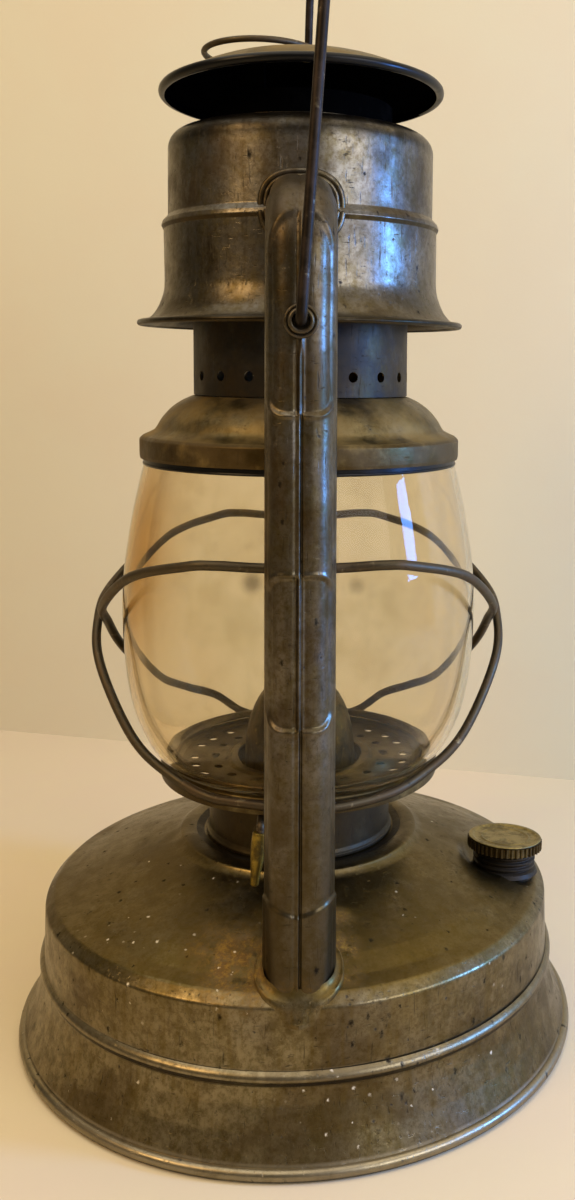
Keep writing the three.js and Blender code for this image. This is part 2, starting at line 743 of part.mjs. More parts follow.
const swellZ = globeZ + globeFootRise;
const lowerGlass = range(globeLowerSteps + 1).map((i) => {
  const share = 1 - Math.cos((i / globeLowerSteps) * (Math.PI / 2));
  const out = (1 - (1 - share) ** 2) ** globeLowerPower;
  return at(globeFootRadius + (globeBellyRadius - globeFootRadius) * out, swellZ + (bellyZ - swellZ) * share);
});
const mouthZ = globeTopZ - seatSkirt - slideGap;
const upperGlass = range(globeUpperSteps).map((i) => {
  const share = (i + 1) / globeUpperSteps;
  const out = share ** globeUpperPower;
  return at(
    globeBellyRadius + (globeMouthRadius - globeBellyRadius) * out,
    bellyZ + (mouthZ - bellyZ) * share,
  );
});
const plateOuter = [
  at(plateRadius, plateZ - plateRimDrop),
  at(plateRadius, plateZ),
  at(plateRadius - plateRidgeWidth, plateZ + plateRidgeRise),
  at(globeFootRadius + plateRidgeWidth + fitGap, plateZ + plateRidgeRise),
  at(globeFootRadius + fitGap, plateZ),
  at(plateBoreRadius, plateZ),
];
const plateHoles = joined(range(plateHoleCount).map((i) => (
  turn(rod(plateHoleRadius, plateZ - cutOver, plateZ + cutOver, rollSides)
    .translate([globeFootRadius - plateHoleInset, 0, 0]), 0, 0, ((i + 0.5) * 360) / plateHoleCount)
)));

const guardLowRadius = plateRadius + guardWire + fitGap;
const guardOutRadius = globeBellyRadius + guardBulge;
const guardLowZ = globeZ + globeHeight * guardLowShare;
const guardHighZ = globeZ + globeHeight * guardHighShare;
const guardLaneRadius = tubeCentreAt(guardHighZ) - tubeDepth / 2 - guardTubeGap - guardWire;

function guardLoop(side, crossing) {
  const low = side * (Math.PI / 2);
  const half = guardShares.map(([degrees, out, up]) => {
    const angle = rad(degrees);
    const radius = guardLowRadius + (guardOutRadius - guardLowRadius) * out
      + crossing * (guardWire + guardCrossGap) * Math.sin(angle) ** 4;
    return [angle, radius, guardLowZ + (guardHighZ - guardLowZ) * up];
  });
  const behindTube = guardTubeTurns.map((degrees) => [rad(degrees), guardLaneRadius, guardHighZ]);
  const other = [...half.slice(1), behindTube[0]].map(([angle, radius, z]) => [-angle, radius, z]).reverse();
  const points = [...half, ...behindTube, ...other].map(([angle, radius, z]) => (
    point3(radius * Math.cos(low + angle), radius * Math.sin(low + angle), z)
  ));
  const loop = new THREE.CatmullRomCurve3(points, true);
  const spaced = loop.getSpacedPoints(guardSteps);
  spaced[guardSteps] = loop.getPointAt(1 - fitGap / loop.getLength());
  return wire(spaced, guardWire);
}

const lugEnd = crankLength - leverOffset + leverWire;
lantern.add(
  piece('globe', shell([
    at(globeFootRadius, globeZ),
    ...lowerGlass,
    ...upperGlass,
    at(globeMouthRadius, globeTopZ),
  ], glassWall), clearGlass),
  piece('globe_plate', shell(plateOuter).subtract(plateHoles), darkTin),
  piece('guard_wire_front', guardLoop(-1, 1), rustyWire),
  piece('guard_wire_rear', guardLoop(1, -1), rustyWire),
  piece('lift_lug', block(
    point3(lugEnd - lugLength, crankY - lugWidth / 2, leverZ + leverWire + fitGap),
    point3(lugEnd, crankY + lugWidth / 2, plateZ - sheet - fitGap),
  ), darkTin),
);

// Globe holder, its seat ring and the perforated chimney

const holderFoot = bandRadius - holderStep;
const holderCurve = range(holderSteps + 1).map((i) => {
  const angle = (i / holderSteps) * (Math.PI / 2);
  const out = Math.cos(angle) ** (2 / holderPower);
  const up = Math.sin(angle) ** (2 / holderPower);
  return at(chimneyRadius + (holderFoot - chimneyRadius) * out, bandTopZ + holderStepRise + holderRise * up);
});
const chimneyFootZ = holderTopZ + fitGap;
const taperZ = drumZ + fitGap;
const neckTopZ = canopyTopZ + neckShow;
const chimneyHoleZ = chimneyFootZ + chimneyHoleHeight;
const chimneyHoles = joined(range(chimneyHoleCount / 2).map((i) => (
  turn(alongX(chimneyHoleRadius, -chimneyRadius - cutOver, chimneyRadius + cutOver, rollSides), 0, 0,
    ((i + 0.5) * 360) / chimneyHoleCount).translate([0, 0, chimneyHoleZ])
)));
lantern.add(
  piece('globe_seat_ring', solidOf(turned([
    at(seatRadius, globeTopZ - seatSkirt),
    at(seatRadius, globeTopZ + fitGap + seatThickness),
    at(globeMouthRadius - seatLedge, globeTopZ + fitGap + seatThickness),
    at(globeMouthRadius - seatLedge, globeTopZ + fitGap),
    at(seatRadius - seatWall, globeTopZ + fitGap),
    at(seatRadius - seatWall, globeTopZ - seatSkirt),
  ])), sootTin),
  piece('globe_holder', shell([
    at(bandRadius, bandTopZ - bandHeight),
    at(bandRadius, bandTopZ),
    ...holderCurve,
    at(chimneyRadius - sheet * 2, holderTopZ),
  ]), tinplate),
  piece('chimney', shell([
    at(chimneyRadius, chimneyFootZ),
    at(chimneyRadius, taperZ),
    at(stackNeckRadius, taperZ + neckTaper),
    at(stackNeckRadius, neckTopZ),
  ]).subtract(chimneyHoles), darkTin),
);

// Rain cap on its struts, with the lift ring in a staple

const capHeightAt = (radius) => capTopZ - capCrown * (radius / (capRadius - capRoll)) ** capPower;
const capOuter = range(capSteps + 1).map((i) => {
  const radius = (capRadius - capRoll) * (1 - i / capSteps);
  return at(radius, capHeightAt(radius));
});
lantern.add(piece('rain_cap', shell(capOuter).add(roll(capRadius - capRoll, capRimZ, capRoll)), sootTin));
const strutOuter = stackNeckRadius - sheet - fitGap;
const strutTopZ = capHeightAt(strutOuter) - sheet * strutTopShare - fitGap;
range(strutCount).forEach((i) => {
  const strut = piece(`cap_strut_${i + 1}`, block(
    point3(strutOuter - sheet * 2, -strutWidth / 2, neckTopZ - strutReach),
    point3(strutOuter - sheet, strutWidth / 2, strutTopZ),
  ), sootTin);
  strut.rotation.z = rad((i * 360) / strutCount);
  lantern.add(strut);
});

const stapleBore = ringWire + slideGap;
const stapleShape = new THREE.Shape();
stapleShape.moveTo(-stapleFoot, fitGap - ringRise);
stapleShape.lineTo(-stapleBore, fitGap - ringRise);
stapleShape.lineTo(-stapleBore, 0);
stapleShape.absarc(0, 0, stapleBore, Math.PI, 0, true);
stapleShape.lineTo(stapleBore, fitGap - ringRise);
stapleShape.lineTo(stapleFoot, fitGap - ringRise);
stapleShape.lineTo(stapleFoot, fitGap - ringRise + stapleWall);
stapleShape.lineTo(stapleBore + stapleWall, fitGap - ringRise + stapleWall);
stapleShape.lineTo(stapleBore + stapleWall, 0);
stapleShape.absarc(0, 0, stapleBore + stapleWall, 0, Math.PI, false);
stapleShape.lineTo(-stapleBore - stapleWall, fitGap - ringRise + stapleWall);
stapleShape.lineTo(-stapleFoot, fitGap - ringRise + stapleWall);
const ringFrame = new THREE.Group();
ringFrame.position.set(ringOffset, 0, ringZ);
ringFrame.add(
  piece('ring_staple', turn(solidOf(new THREE.ExtrudeGeometry(stapleShape, {
    depth: stapleWidth, bevelEnabled: false, curveSegments: boreSteps / 2,
  }).translate(0, 0, -stapleWidth / 2)), 90, 0, 0), sootTin),
  piece('lift_ring', solidOf(new THREE.TorusGeometry(ringRadius, ringWire, wireSides, roundSteps)
    .translate(-ringRadius, 0, 0)), rustyWire),
);
lantern.add(ringFrame);

// Burner: body, cone, wick tube, wick and the raiser; +X of this frame points along the wick shaft

const coneBaseZ = burnerSeatZ + burnerHeight - coneSkirt;
const coneTopZ = coneBaseZ + coneSkirt + coneHeight;
const coneInner = burnerRadius + fitGap;
const coneOuter = [
  at(coneInner + sheet, coneBaseZ),
  at(coneInner + sheet, coneBaseZ + coneSkirt),
  ...coneShares.map(([out, up]) => at(coneRadius * out, coneBaseZ + coneSkirt + coneHeight * up)),
  at(0, coneTopZ),
];
const slotBox = (length, width, low, high) => (
  block(point3(-length / 2, -width / 2, low), point3(length / 2, width / 2, high))
);
const burnerHoles = joined(range(burnerHoleRows).map((i) => (
  turn(alongX(burnerHoleRadius, -burnerRadius - cutOver, burnerRadius + cutOver, rollSides), 0, 0,
    ((i + 0.5) * 180) / burnerHoleRows).translate([0, 0, burnerSeatZ + burnerHoleLift])
)));
const burnerPlate = rod(burnerScrewRadius, burnerSeatZ, burnerSeatZ + sheet, smallSteps);
const wickSlot = slotBox(wickTubeWidth + fitGap * 2, wickTubeDepth + fitGap * 2,
  burnerSeatZ - cutOver, burnerSeatZ + cutOver);
const tubeTopZ = coneTopZ - wickTubeTop;
const wickTopZ = tubeTopZ + wickShow;
const window = (x) => block(
  point3(x - spurThickness / 2 - slideGap, 0, shaftZ - spurRadius - slideGap),
  point3(x + spurThickness / 2 + slideGap, wickTubeDepth, shaftZ + spurRadius + slideGap),
);
const spur = (() => {
  const outline = polygon(range(spurTeeth * 2).map((i) => {
    const reach = i % 2 ? spurRoot : spurRadius;
    const angle = (i / (spurTeeth * 2)) * 2 * Math.PI;
    return [reach * Math.cos(angle), reach * Math.sin(angle)];
  }));
  return turn(solidOf(new THREE.ExtrudeGeometry(outline, { depth: spurThickness, bevelEnabled: false })
    .translate(0, 0, -spurThickness / 2)), 0, 90, 0);
})();
const knobX = airCollarRadius + knobStand;
burnerFrame.add(
  piece('burner_body', shell([
    at(burnerScrewRadius, burnerSeatZ - burnerScrewDepth),
    at(burnerScrewRadius, burnerSeatZ),
    at(burnerRadius, burnerSeatZ),
    at(burnerRadius, burnerSeatZ + burnerHeight),
  ], sheet, smallSteps)
    .add(burnerPlate)
    .subtract(wickSlot)
    .subtract(burnerHoles)
    .subtract(shaftBar(shaftRadius + fitGap, -burnerRadius - cutOver, burnerRadius + cutOver)), brass),
  piece('burner_cone', shell(coneOuter, sheet, smallSteps)
    .subtract(slotBox(
      coneSlotLength, coneSlotWidth, coneTopZ - coneHeight * coneSlotShare, coneTopZ + cutOver,
    )), brass),
  piece('wick_tube', slotBox(wickTubeWidth, wickTubeDepth, burnerSeatZ - wickTubeReach, tubeTopZ)
    .subtract(slotBox(wickTubeWidth - wickTubeWall * 2, wickTubeDepth - wickTubeWall * 2,
      burnerSeatZ - wickTubeReach - cutOver, tubeTopZ + cutOver))
    .subtract(window(-spurSpread))
    .subtract(window(spurSpread)), brass),
  piece('wick', slotBox(wickWidth, wickThickness, wickTopZ - wickLength, wickTopZ), cotton),
  piece('wick_shaft', shaftBar(shaftRadius, -shaftTail, knobX + knobThickness), brass),
  ...[-1, 1].map((side) => piece(side < 0 ? 'spur_wheel_1' : 'spur_wheel_2', spur
    .translate([side * spurSpread, shaftSide, shaftZ])
    .subtract(shaftBar(shaftRadius + fitGap, -shaftTail - cutOver, shaftTail + cutOver)), brass)),
  piece('wick_knob', turn(knurled(knobRadius, knobRibs, knobThickness), 0, 90, 0)
    .translate([knobX, shaftSide, shaftZ])
    .subtract(shaftBar(shaftRadius + fitGap, knobX - cutOver, knobX + knobThickness + cutOver)), brass),
);
lantern.add(burnerFrame);

// Globe lift lever: a bent wire through the air collar, and the brass finger piece on its end

const fingerShape = new THREE.Shape();
const fingerDrop = Math.sqrt(fingerLength ** 2 - (fingerHub - fingerTip) ** 2);
const fingerSlant = Math.asin((fingerHub - fingerTip) / fingerLength);
fingerShape.absarc(0, 0, fingerHub, fingerSlant, Math.PI - fingerSlant, false);
fingerShape.absarc(0, -fingerDrop, fingerTip, Math.PI - fingerSlant, fingerSlant, false);
const leverFrame = new THREE.Group();
leverFrame.position.set(-leverOffset, 0, leverZ);
const fingerY = leverEnd + sheet;
leverFrame.add(
  piece('lever_crank', wire([
    point3(0, leverEnd, 0),
    point3(0, crankY - leverWire, 0),
    point3(leverWire, crankY, 0),
    point3(crankLength, crankY, 0),
  ], leverWire, rollSides), rustyWire),
  piece('lever_finger', turn(turn(solidOf(new THREE.ExtrudeGeometry(fingerShape, {
    depth: fingerThickness, bevelEnabled: false, curveSegments: boreSteps / 2,
  })), 90, 0, 0), 0, fingerLean, 0).translate([0, fingerY + fingerThickness, 0])
    .subtract(turn(rod(leverWire + fitGap, 0, fingerThickness + cutOver * 2), 90, 0, 0)
      .translate([0, fingerY + fingerThickness + cutOver, 0])), brass),
);
lantern.add(leverFrame);

export default lantern;
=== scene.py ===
import math

import bmesh
import bpy
import numpy as np
from mathutils import Matrix, Vector


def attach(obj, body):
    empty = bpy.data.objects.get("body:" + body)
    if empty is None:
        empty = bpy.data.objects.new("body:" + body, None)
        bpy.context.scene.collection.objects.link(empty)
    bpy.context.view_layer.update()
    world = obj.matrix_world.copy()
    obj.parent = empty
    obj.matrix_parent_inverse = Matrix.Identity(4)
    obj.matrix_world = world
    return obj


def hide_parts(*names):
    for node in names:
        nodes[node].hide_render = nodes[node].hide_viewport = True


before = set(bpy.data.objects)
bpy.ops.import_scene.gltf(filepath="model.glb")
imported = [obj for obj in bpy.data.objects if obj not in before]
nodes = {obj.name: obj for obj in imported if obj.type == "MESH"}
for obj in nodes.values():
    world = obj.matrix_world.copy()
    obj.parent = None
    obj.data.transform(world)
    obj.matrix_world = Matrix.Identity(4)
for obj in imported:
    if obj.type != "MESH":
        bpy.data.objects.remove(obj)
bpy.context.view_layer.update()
mm = 0.001   # every size below is in millimetres
print("hurricane lantern: CAD frame loaded,", len(nodes), "nodes")


# Camera, fitted to the ellipses of the foot, shoulder, band, canopy and cap

cameraValues = {
    "distance": 404.4,       # in front of the lantern's axis
    "height": 232.8,
    "yaw": 4.56,             # degrees to the right
    "pitch": 5.32,           # degrees down
    "roll": 0.61,
    "focalPixels": 1138.4,
    "centre": (391.1, 473.4),
    "picture": (575, 1200),
}


def addCamera(values):
    yaw, pitch, roll = (math.radians(values[k]) for k in ("yaw", "pitch", "roll"))
    ahead = Vector((math.sin(yaw), math.cos(yaw), 0))
    side = Vector((math.cos(yaw), -math.sin(yaw), 0))
    view = ahead * math.cos(pitch) - Vector((0, 0, math.sin(pitch)))
    rise = Vector((0, 0, math.cos(pitch))) + ahead * math.sin(pitch)
    right = side * math.cos(roll) + rise * math.sin(roll)
    up = rise * math.cos(roll) - side * math.sin(roll)
    data = bpy.data.cameras.new("camera")
    wide, high = values["picture"]
    data.sensor_width = 36
    data.sensor_fit = "AUTO"
    data.lens = values["focalPixels"] / high * 36
    data.shift_x = (wide / 2 - values["centre"][0]) / high
    data.shift_y = (values["centre"][1] - high / 2) / high
    data.clip_start = 0.01
    camera = bpy.data.objects.new("camera", data)
    camera.matrix_world = Matrix((
        (right.x, up.x, -view.x, 0),
        (right.y, up.y, -view.y, -values["distance"] * mm),
        (right.z, up.z, -view.z, values["height"] * mm),
        (0, 0, 0, 1),
    ))
    bpy.context.scene.collection.objects.link(camera)
    bpy.context.scene.camera = camera


addCamera(cameraValues)


# Colours and nodes

def linear(hexColour, alpha=1.0):
    parts = [int(hexColour[i:i + 2], 16) / 255 for i in (1, 3, 5)]
    return (*[c / 12.92 if c <= 0.04045 else ((c + 0.055) / 1.055) ** 2.4 for c in parts], alpha)


def addNode(tree, kind, settings=None, inputs=None):
    node = tree.nodes.new(kind)
    for name, value in (settings or {}).items():
        setattr(node, name, value)
    for key, value in (inputs or {}).items():
        if isinstance(value, bpy.types.NodeSocket):
            tree.links.new(value, node.inputs[key])
        else:
            node.inputs[key].default_value = value
    return node


# A material's start: itself, its empty tree and the coordinates of the piece it is on
def newMaterial(name):
    material = bpy.data.materials.new(name)
    material.use_nodes = True
    tree = material.node_tree
    tree.nodes.clear()
    return material, tree, addNode(tree, "ShaderNodeTexCoord").outputs["Object"]


# A material's end: one shader with its inputs, and the output
def finishMaterial(tree, inputs):
    shader = addNode(tree, "ShaderNodeBsdfPrincipled", inputs=inputs)
    addNode(tree, "ShaderNodeOutputMaterial", inputs={"Surface": shader.outputs[0]})


# Relief from noise of a real size and depth, alone or over another relief
def relief(tree, where, size, detail, strength, depth, roughness=0.5, over=None):
    noise = addNode(tree, "ShaderNodeTexNoise", inputs={
        "Vector": where, "Scale": 1 / (size * mm), "Detail": detail, "Roughness": roughness})
    inputs = {"Height": noise.outputs[0], "Strength": strength, "Distance": depth * mm}
    if over:
        inputs["Normal"] = over
    return addNode(tree, "ShaderNodeBump", inputs=inputs).outputs[0]


# Two masks as one
def combined(tree, first, second, operation="MULTIPLY"):
    settings = {"operation": operation, "use_clamp": True}
    return addNode(tree, "ShaderNodeMath", settings, {0: first, 1: second}).outputs[0]


# A soft-edged patchy mask: noise of a real size, cut between two levels
def patches(tree, where, size, low, high, stretch=(1, 1, 1), detail=6, roughness=0.6):
    moved = addNode(tree, "ShaderNodeMapping", inputs={"Vector": where, "Scale": stretch})
    noise = addNode(tree, "ShaderNodeTexNoise", inputs={
        "Vector": moved.outputs[0], "Scale": 1 / (size * mm), "Detail": detail, "Roughness": roughness})
    level = addNode(tree, "ShaderNodeMapRange", {"interpolation_type": "SMOOTHSTEP"}, {
        "Value": noise.outputs[0], "From Min": low, "From Max": high})
    return level.outputs[0]


# Scattered specks, ragged and of mixed sizes: one in a part of the cells of a Voronoi pattern
def specks(tree, where, spacing, size, share, stretch=(1, 1, 1)):
    ragged = addNode(tree, "ShaderNodeTexNoise", inputs={
        "Vector": where, "Scale": 1 / (1.3 * size * mm), "Detail": 3.0, "Roughness": 0.7})
    pushed = addNode(tree, "ShaderNodeVectorMath", {"operation": "MULTIPLY_ADD"}, {
        0: ragged.outputs["Color"], 1: (2.4 * size * mm,) * 3, 2: where})
    moved = addNode(tree, "ShaderNodeMapping", inputs={"Vector": pushed.outputs[0], "Scale": stretch})
    cells = addNode(tree, "ShaderNodeTexVoronoi", inputs={
        "Vector": moved.outputs[0], "Scale": 1 / (spacing * mm), "Randomness": 1.0})
    pick = addNode(tree, "ShaderNodeSeparateColor", inputs={"Color": cells.outputs["Color"]})
    grown = addNode(tree, "ShaderNodeMath", {"operation": "MULTIPLY_ADD"}, {
        0: pick.outputs[1], 1: 0.9 * size / spacing, 2: 0.45 * size / spacing})
    near = addNode(tree, "ShaderNodeMapRange", {"interpolation_type": "SMOOTHSTEP"}, {
        "Value": cells.outputs["Distance"], "From Min": grown.outputs[0], "From Max": size / spacing * 0.2})
    chosen = addNode(tree, "ShaderNodeMath", {"operation": "LESS_THAN"}, {0: pick.outputs[0], 1: share})
    return combined(tree, near.outputs[0], chosen.outputs[0])


# A mask that is full at a place of the piece and fades out over a distance
def around(tree, where, place, reach, fade):
    away = addNode(tree, "ShaderNodeVectorMath", {"operation": "DISTANCE"}, {
        0: where, 1: tuple(v * mm for v in place)})
    level = addNode(tree, "ShaderNodeMapRange", {"interpolation_type": "SMOOTHSTEP"}, {
        "Value": away.outputs["Value"], "From Min": (reach + fade) * mm, "From Max": reach * mm})
    return level.outputs[0]


# A mask between two heights, fading at both
def between(tree, where, low, high, fade):
    place = addNode(tree, "ShaderNodeSeparateXYZ", inputs={0: where})
    above, below = (addNode(tree, "ShaderNodeMapRange", {"interpolation_type": "SMOOTHSTEP"}, {
        "Value": place.outputs["Z"], "From Min": nothing * mm, "From Max": full * mm,
    }) for nothing, full in ((low - fade, low), (high + fade, high)))
    return combined(tree, above.outputs[0], below.outputs[0])


# Lays hex colours, or plain values such as roughness, over each other: each layer is a mask,
# what it brings and how strongly it covers. The Mix node has its own sockets for each kind
def layered(tree, base, layers):
    isColour = isinstance(base, str)
    read = linear if isColour else float
    kind, socket, result = ("RGBA", 6, 2) if isColour else ("FLOAT", 2, 0)
    below = read(base)
    for mask, target, strength in layers:
        amount = addNode(tree, "ShaderNodeMath", {"operation": "MULTIPLY"}, {0: mask, 1: strength})
        mixed = addNode(tree, "ShaderNodeMix", {"data_type": kind}, {
            0: amount.outputs[0], socket: below, socket + 1: read(target)})
        below = mixed.outputs[result]
    return below


# Materials

tinValues = {
    "bare": "#70674b",        # worn tin coat
    "tarnish": "#4a3f1b",     # olive oxide where the tin has thinned
    "brown": "#37280c",       # old varnish and oil baked brown
    "dark": "#15110a",        # bare oxidised steel in the deepest stains
    "worn": "#958c78",
    "cool": "#6c7076",
    "rust": "#664710",
    "rustGrain": "#b08b2e",
    "dust": "#92783e",
    "smoke": "#0b0a08",
    "paint": "#d8ccae",       # flecks of wall paint on the fount
    "patchSize": 26,          # mm, large stains
    "mottleSize": 4.5,        # mm, crystal mottling of the worn tin
    "scratchWidth": 0.9,      # mm, fine scratches round and along the sheet
    "pitSpacing": 4.5,
    "roughness": 0.3,
}
# the same tin, greyer above and darker round the chimney; on the fount a paler copy, a painted light that
# stands in for more light on the fount
greyTin = {**tinValues, "bare": "#726d63", "tarnish": "#40361f", "worn": "#96928a", "cool": "#5c6675"}
darkTin = {**greyTin, "bare": "#4d4d4c", "cool": "#3f4855", "worn": "#6c6a66"}
fountTinPaintedPaler = {**tinValues, "bare": "#877c60", "tarnish": "#5d4d20", "brown": "#43320f", "worn": "#a0967f"}

# Marks at places of their own, each fading out over a distance beyond its reach, in mm
# place, reach, fade
paintPlaces = [((-52, -62, 51), 12, 20), ((-22, -78, 51), 8, 14),
               ((64, -56, 50), 6, 14), ((40, -86, 20), 4, 14)]
# place, reach, fade, strength
footRust = [((-17, -76, 53), 5, 12, 0.85), ((-24, -67, 56), 2, 14, 0.5), ((12.5, -60, 59), 1.5, 6, 0.8),
            ((13.5, -70, 55.5), 2, 6, 0.85), ((14, -79, 52), 1, 6, 0.6), ((0, 86, 50), 8, 14, 0.6)]
# place, reach, fade, colour, strength
canopyStains = [((-31.7, -34.5, 267.7), 3, 10, "dark", 0.85), ((-20, -42, 262), 1, 8, "dark", 0.7),
                ((-38, -28, 290), 2, 9, "brown", 0.7), ((27, -38, 300), 1, 9, "dark", 0.55)]


# Tin plate is mild steel with a thin bright tin coat; here it is a century old, rubbed and
# oxidised, so it reflects softly in grey where it is rubbed and olive brown where it isn't
def tarnishedTin(name, values, brownness=0.5, wear=0.5, dust=0.0, soot=0.0, sootAbove=0, rustAt=(),
                 paint=False, stainAndPaintedLightBands=(), stainedAt=(), marks=0.0, shift=(0, 0, 0)):
    material, tree, here = newMaterial(name)
    where = addNode(tree, "ShaderNodeMapping", inputs={
        "Vector": here, "Location": tuple(v * mm for v in shift)}).outputs["Vector"]
    stains = patches(tree, where, values["patchSize"], 0.62 - 0.3 * brownness, 0.78 - 0.3 * brownness)
    veil = patches(tree, where, values["patchSize"] * 2.3, 0.35, 0.7, detail=3)
    mottle = patches(tree, where, values["mottleSize"], 0.42, 0.62, detail=8, roughness=0.7)
    grain = patches(tree, where, 1.7, 0.44, 0.64, detail=8, roughness=0.75)
    streaks = patches(tree, where, 3.2, 0.5, 0.68, stretch=(1, 1, 0.1), detail=5)
    lines = patches(tree, where, values["scratchWidth"], 0.6, 0.72, stretch=(1, 1, 0.09), detail=4)
    slants = patches(tree, where, values["scratchWidth"], 0.63, 0.73, stretch=(0.2, 0.35, 1), detail=4)
    scratches = combined(tree, lines, slants, "MAXIMUM")
    rubbed = patches(tree, where, 14, 0.6 - 0.15 * wear, 0.75 - 0.15 * wear, detail=9, roughness=0.72)
    grime = patches(tree, where, 8, 0.58, 0.7, detail=10, roughness=0.78)
    pits = specks(tree, where, values["pitSpacing"], 0.55, 0.45)
    finePits = specks(tree, where, 2.4, 0.3, 0.4)
    coolness = patches(tree, where, 33, 0.5, 0.7, stretch=(1, 1, 0.5), detail=4)
    layers = [
        (mottle, "#5f563a", 0.75),
        (coolness, values["cool"], 0.35),
        (veil, values["tarnish"], 0.6),
        (stains, values["brown"], 0.35 + 0.5 * brownness),
        (streaks, values["tarnish"], 0.45),
        (grime, values["dark"], 0.7),
        (rubbed, values["worn"], 0.3 * wear),
        (grain, values["brown"], 0.45),
        (scratches, values["dark"], 0.5),
        (finePits, values["dark"], 0.6),
        (pits, values["dark"], 0.8),
    ]
    rough = [
        (stains, 0.48, 0.8),
        (grime, 0.6, 0.7),
        (rubbed, 0.28, 0.7),
        (mottle, 0.42, 0.4),
        (scratches, 0.6, 0.5),
        (pits, 0.8, 1.0),
    ]
    oxide = combined(tree, stains, grime, "MAXIMUM")
    metal = [(oxide, 0.88, 0.6), (pits, 0.4, 1.0)]

    # one more layer over all, with its roughness and metallic value and how strongly each shows
    def cover(mask, colour, strength, roughness=(), metallic=()):
        layers.append((mask, values[colour], strength))
        if roughness:
            rough.append((mask, *roughness))
        if metallic:
            metal.append((mask, *metallic))

    if dust:
        film = patches(tree, where, 17, 0.28, 0.68, detail=7)
        cover(film, "dust", 0.75 * dust, (0.68, dust), (0.5, dust))
    if soot:
        smoke = patches(tree, where, 30, 0.3, 0.6, detail=5)
        cover(smoke, "smoke", 0.9 * soot, (0.55, soot), (0.6, soot))
    if sootAbove:        # baked black near the flame's outlet
        cover(between(tree, here, sootAbove, 500, 12), "smoke", 0.97, (0.6, 0.9), (0.0, 1.0))
    for low, high, fade, colour, strength in stainAndPaintedLightBands:      # stains and wear between two heights, and also painted shade and painted highlights
        heightBandMask = combined(tree, between(tree, here, low, high, fade), patches(tree, where, 11, 0.2, 0.5))
        cover(heightBandMask, colour, strength, (0.34, 0.6) if colour == "worn" else ())
    for place, reach, fade, colour, strength in stainedAt:      # runs of dirt down the sheet
        broken = patches(tree, where, 5, 0.4, 0.6, stretch=(1, 1, 0.35), detail=8, roughness=0.7)
        mask = combined(tree, around(tree, here, place, reach, fade), broken)
        cover(mask, colour, strength, (0.6, strength))
    if marks:      # short dark knocks where the tin is through
        knocks = specks(tree, where, 5, 0.85, 0.75 * marks, stretch=(1, 1, 0.55))
        cover(knocks, "dark", 0.85, (0.7, 1.0))
    for place, reach, fade, strength in rustAt:
        broken = patches(tree, where, 6, 0.36, 0.6, detail=9, roughness=0.75)
        mask = combined(tree, around(tree, here, place, reach, fade), broken)
        cover(mask, "rust", strength, (0.8, strength), (0.15, strength))
        cover(combined(tree, mask, grain), "rustGrain", 0.6 * strength)
    if paint:
        splashed = patches(tree, here, 24, 0.52, 0.64, detail=2)
        for place, reach, fade in paintPlaces:
            splashed = combined(tree, splashed, around(tree, here, place, reach, fade), "MAXIMUM")
        dots = combined(tree, specks(tree, here, 4, 0.6, 0.6), splashed)
        cover(dots, "paint", 0.9, (0.7, 1.0), (0.0, 1.0))
    dents = relief(tree, where, 13, 3.0, 0.14, 1.6)
    grainBump = relief(tree, where, 1.1, 5.0, 0.25, 0.12, roughness=0.65, over=dents)
    scratchBump = addNode(tree, "ShaderNodeBump", {"invert": True}, {
        "Height": combined(tree, scratches, pits, "MAXIMUM"), "Strength": 0.4, "Distance": 0.12 * mm,
        "Normal": grainBump})
    finishMaterial(tree, {
        "Base Color": layered(tree, values["bare"], layers),
        "Roughness": layered(tree, values["roughness"], rough),
        "Metallic": layered(tree, 1.0, metal),
        "Normal": scratchBump.outputs[0]})
    return material


# Lamp soot: matt black carbon baked on the sheet, greyer where it has been touched
def bakedSoot(name, gloss=0.2, roughness=0.3):
    material, tree, where = newMaterial(name)
    thin = patches(tree, where, 9, 0.5, 0.75, detail=7)
    worn = patches(tree, where, 3, 0.6, 0.75, detail=6)
    finishMaterial(tree, {
        "Base Color": layered(tree, "#040404", [(thin, "#0a0908", 0.8), (worn, "#151311", 0.3)]),
        "Roughness": layered(tree, roughness, [(thin, roughness + 0.18, 0.8)]),
        "Specular IOR Level": gloss,
        "Normal": relief(tree, where, 0.9, 4.0, 0.3, 0.1)})
    return material


# Hard-drawn steel wire, brown with an even thin rust that handling has polished
def rustyWire(name, base="#4a4232", warm="#4f3d26", wear=0.6):
    material, tree, where = newMaterial(name)
    warmth = patches(tree, where, 7, 0.42, 0.62, detail=7)
    worn = patches(tree, where, 3.5, 0.58, 0.7, detail=8, roughness=0.7)
    dark = patches(tree, where, 2.2, 0.56, 0.7, detail=8, roughness=0.75)
    colours = [(warmth, warm, 0.6), (dark, "#1c1710", 0.75), (worn, "#8f866a", wear)]
    finishMaterial(tree, {
        "Base Color": layered(tree, base, colours),
        "Roughness": layered(tree, 0.46, [(warmth, 0.58, 0.7), (worn, 0.34, 0.8)]),
        "Metallic": layered(tree, 0.9, [(warmth, 0.6, 0.7)]),
        "Normal": relief(tree, where, 0.8, 6.0, 0.45, 0.12)})
    return material


# Sheet brass gone dull: yellow on the high spots, brown and greenish in the hollows
def agedBrass(name, base="#8a7434", dark="#3d3118"):
    material, tree, where = newMaterial(name)
    brown = patches(tree, where, 5, 0.4, 0.62, detail=8, roughness=0.7)
    green = patches(tree, where, 3, 0.6, 0.72, detail=6)
    bright = patches(tree, where, 2.4, 0.58, 0.72, detail=7)
    colours = [(brown, dark, 0.8), (green, "#4f5a34", 0.4), (bright, "#b39a4e", 0.6)]
    finishMaterial(tree, {
        "Base Color": layered(tree, base, colours),
        "Roughness": layered(tree, 0.38, [(brown, 0.6, 0.8)]),
        "Metallic": layered(tree, 1.0, [(brown, 0.75, 0.7)]),
        "Normal": relief(tree, where, 0.7, 5.0, 0.3, 0.1)})
    return material


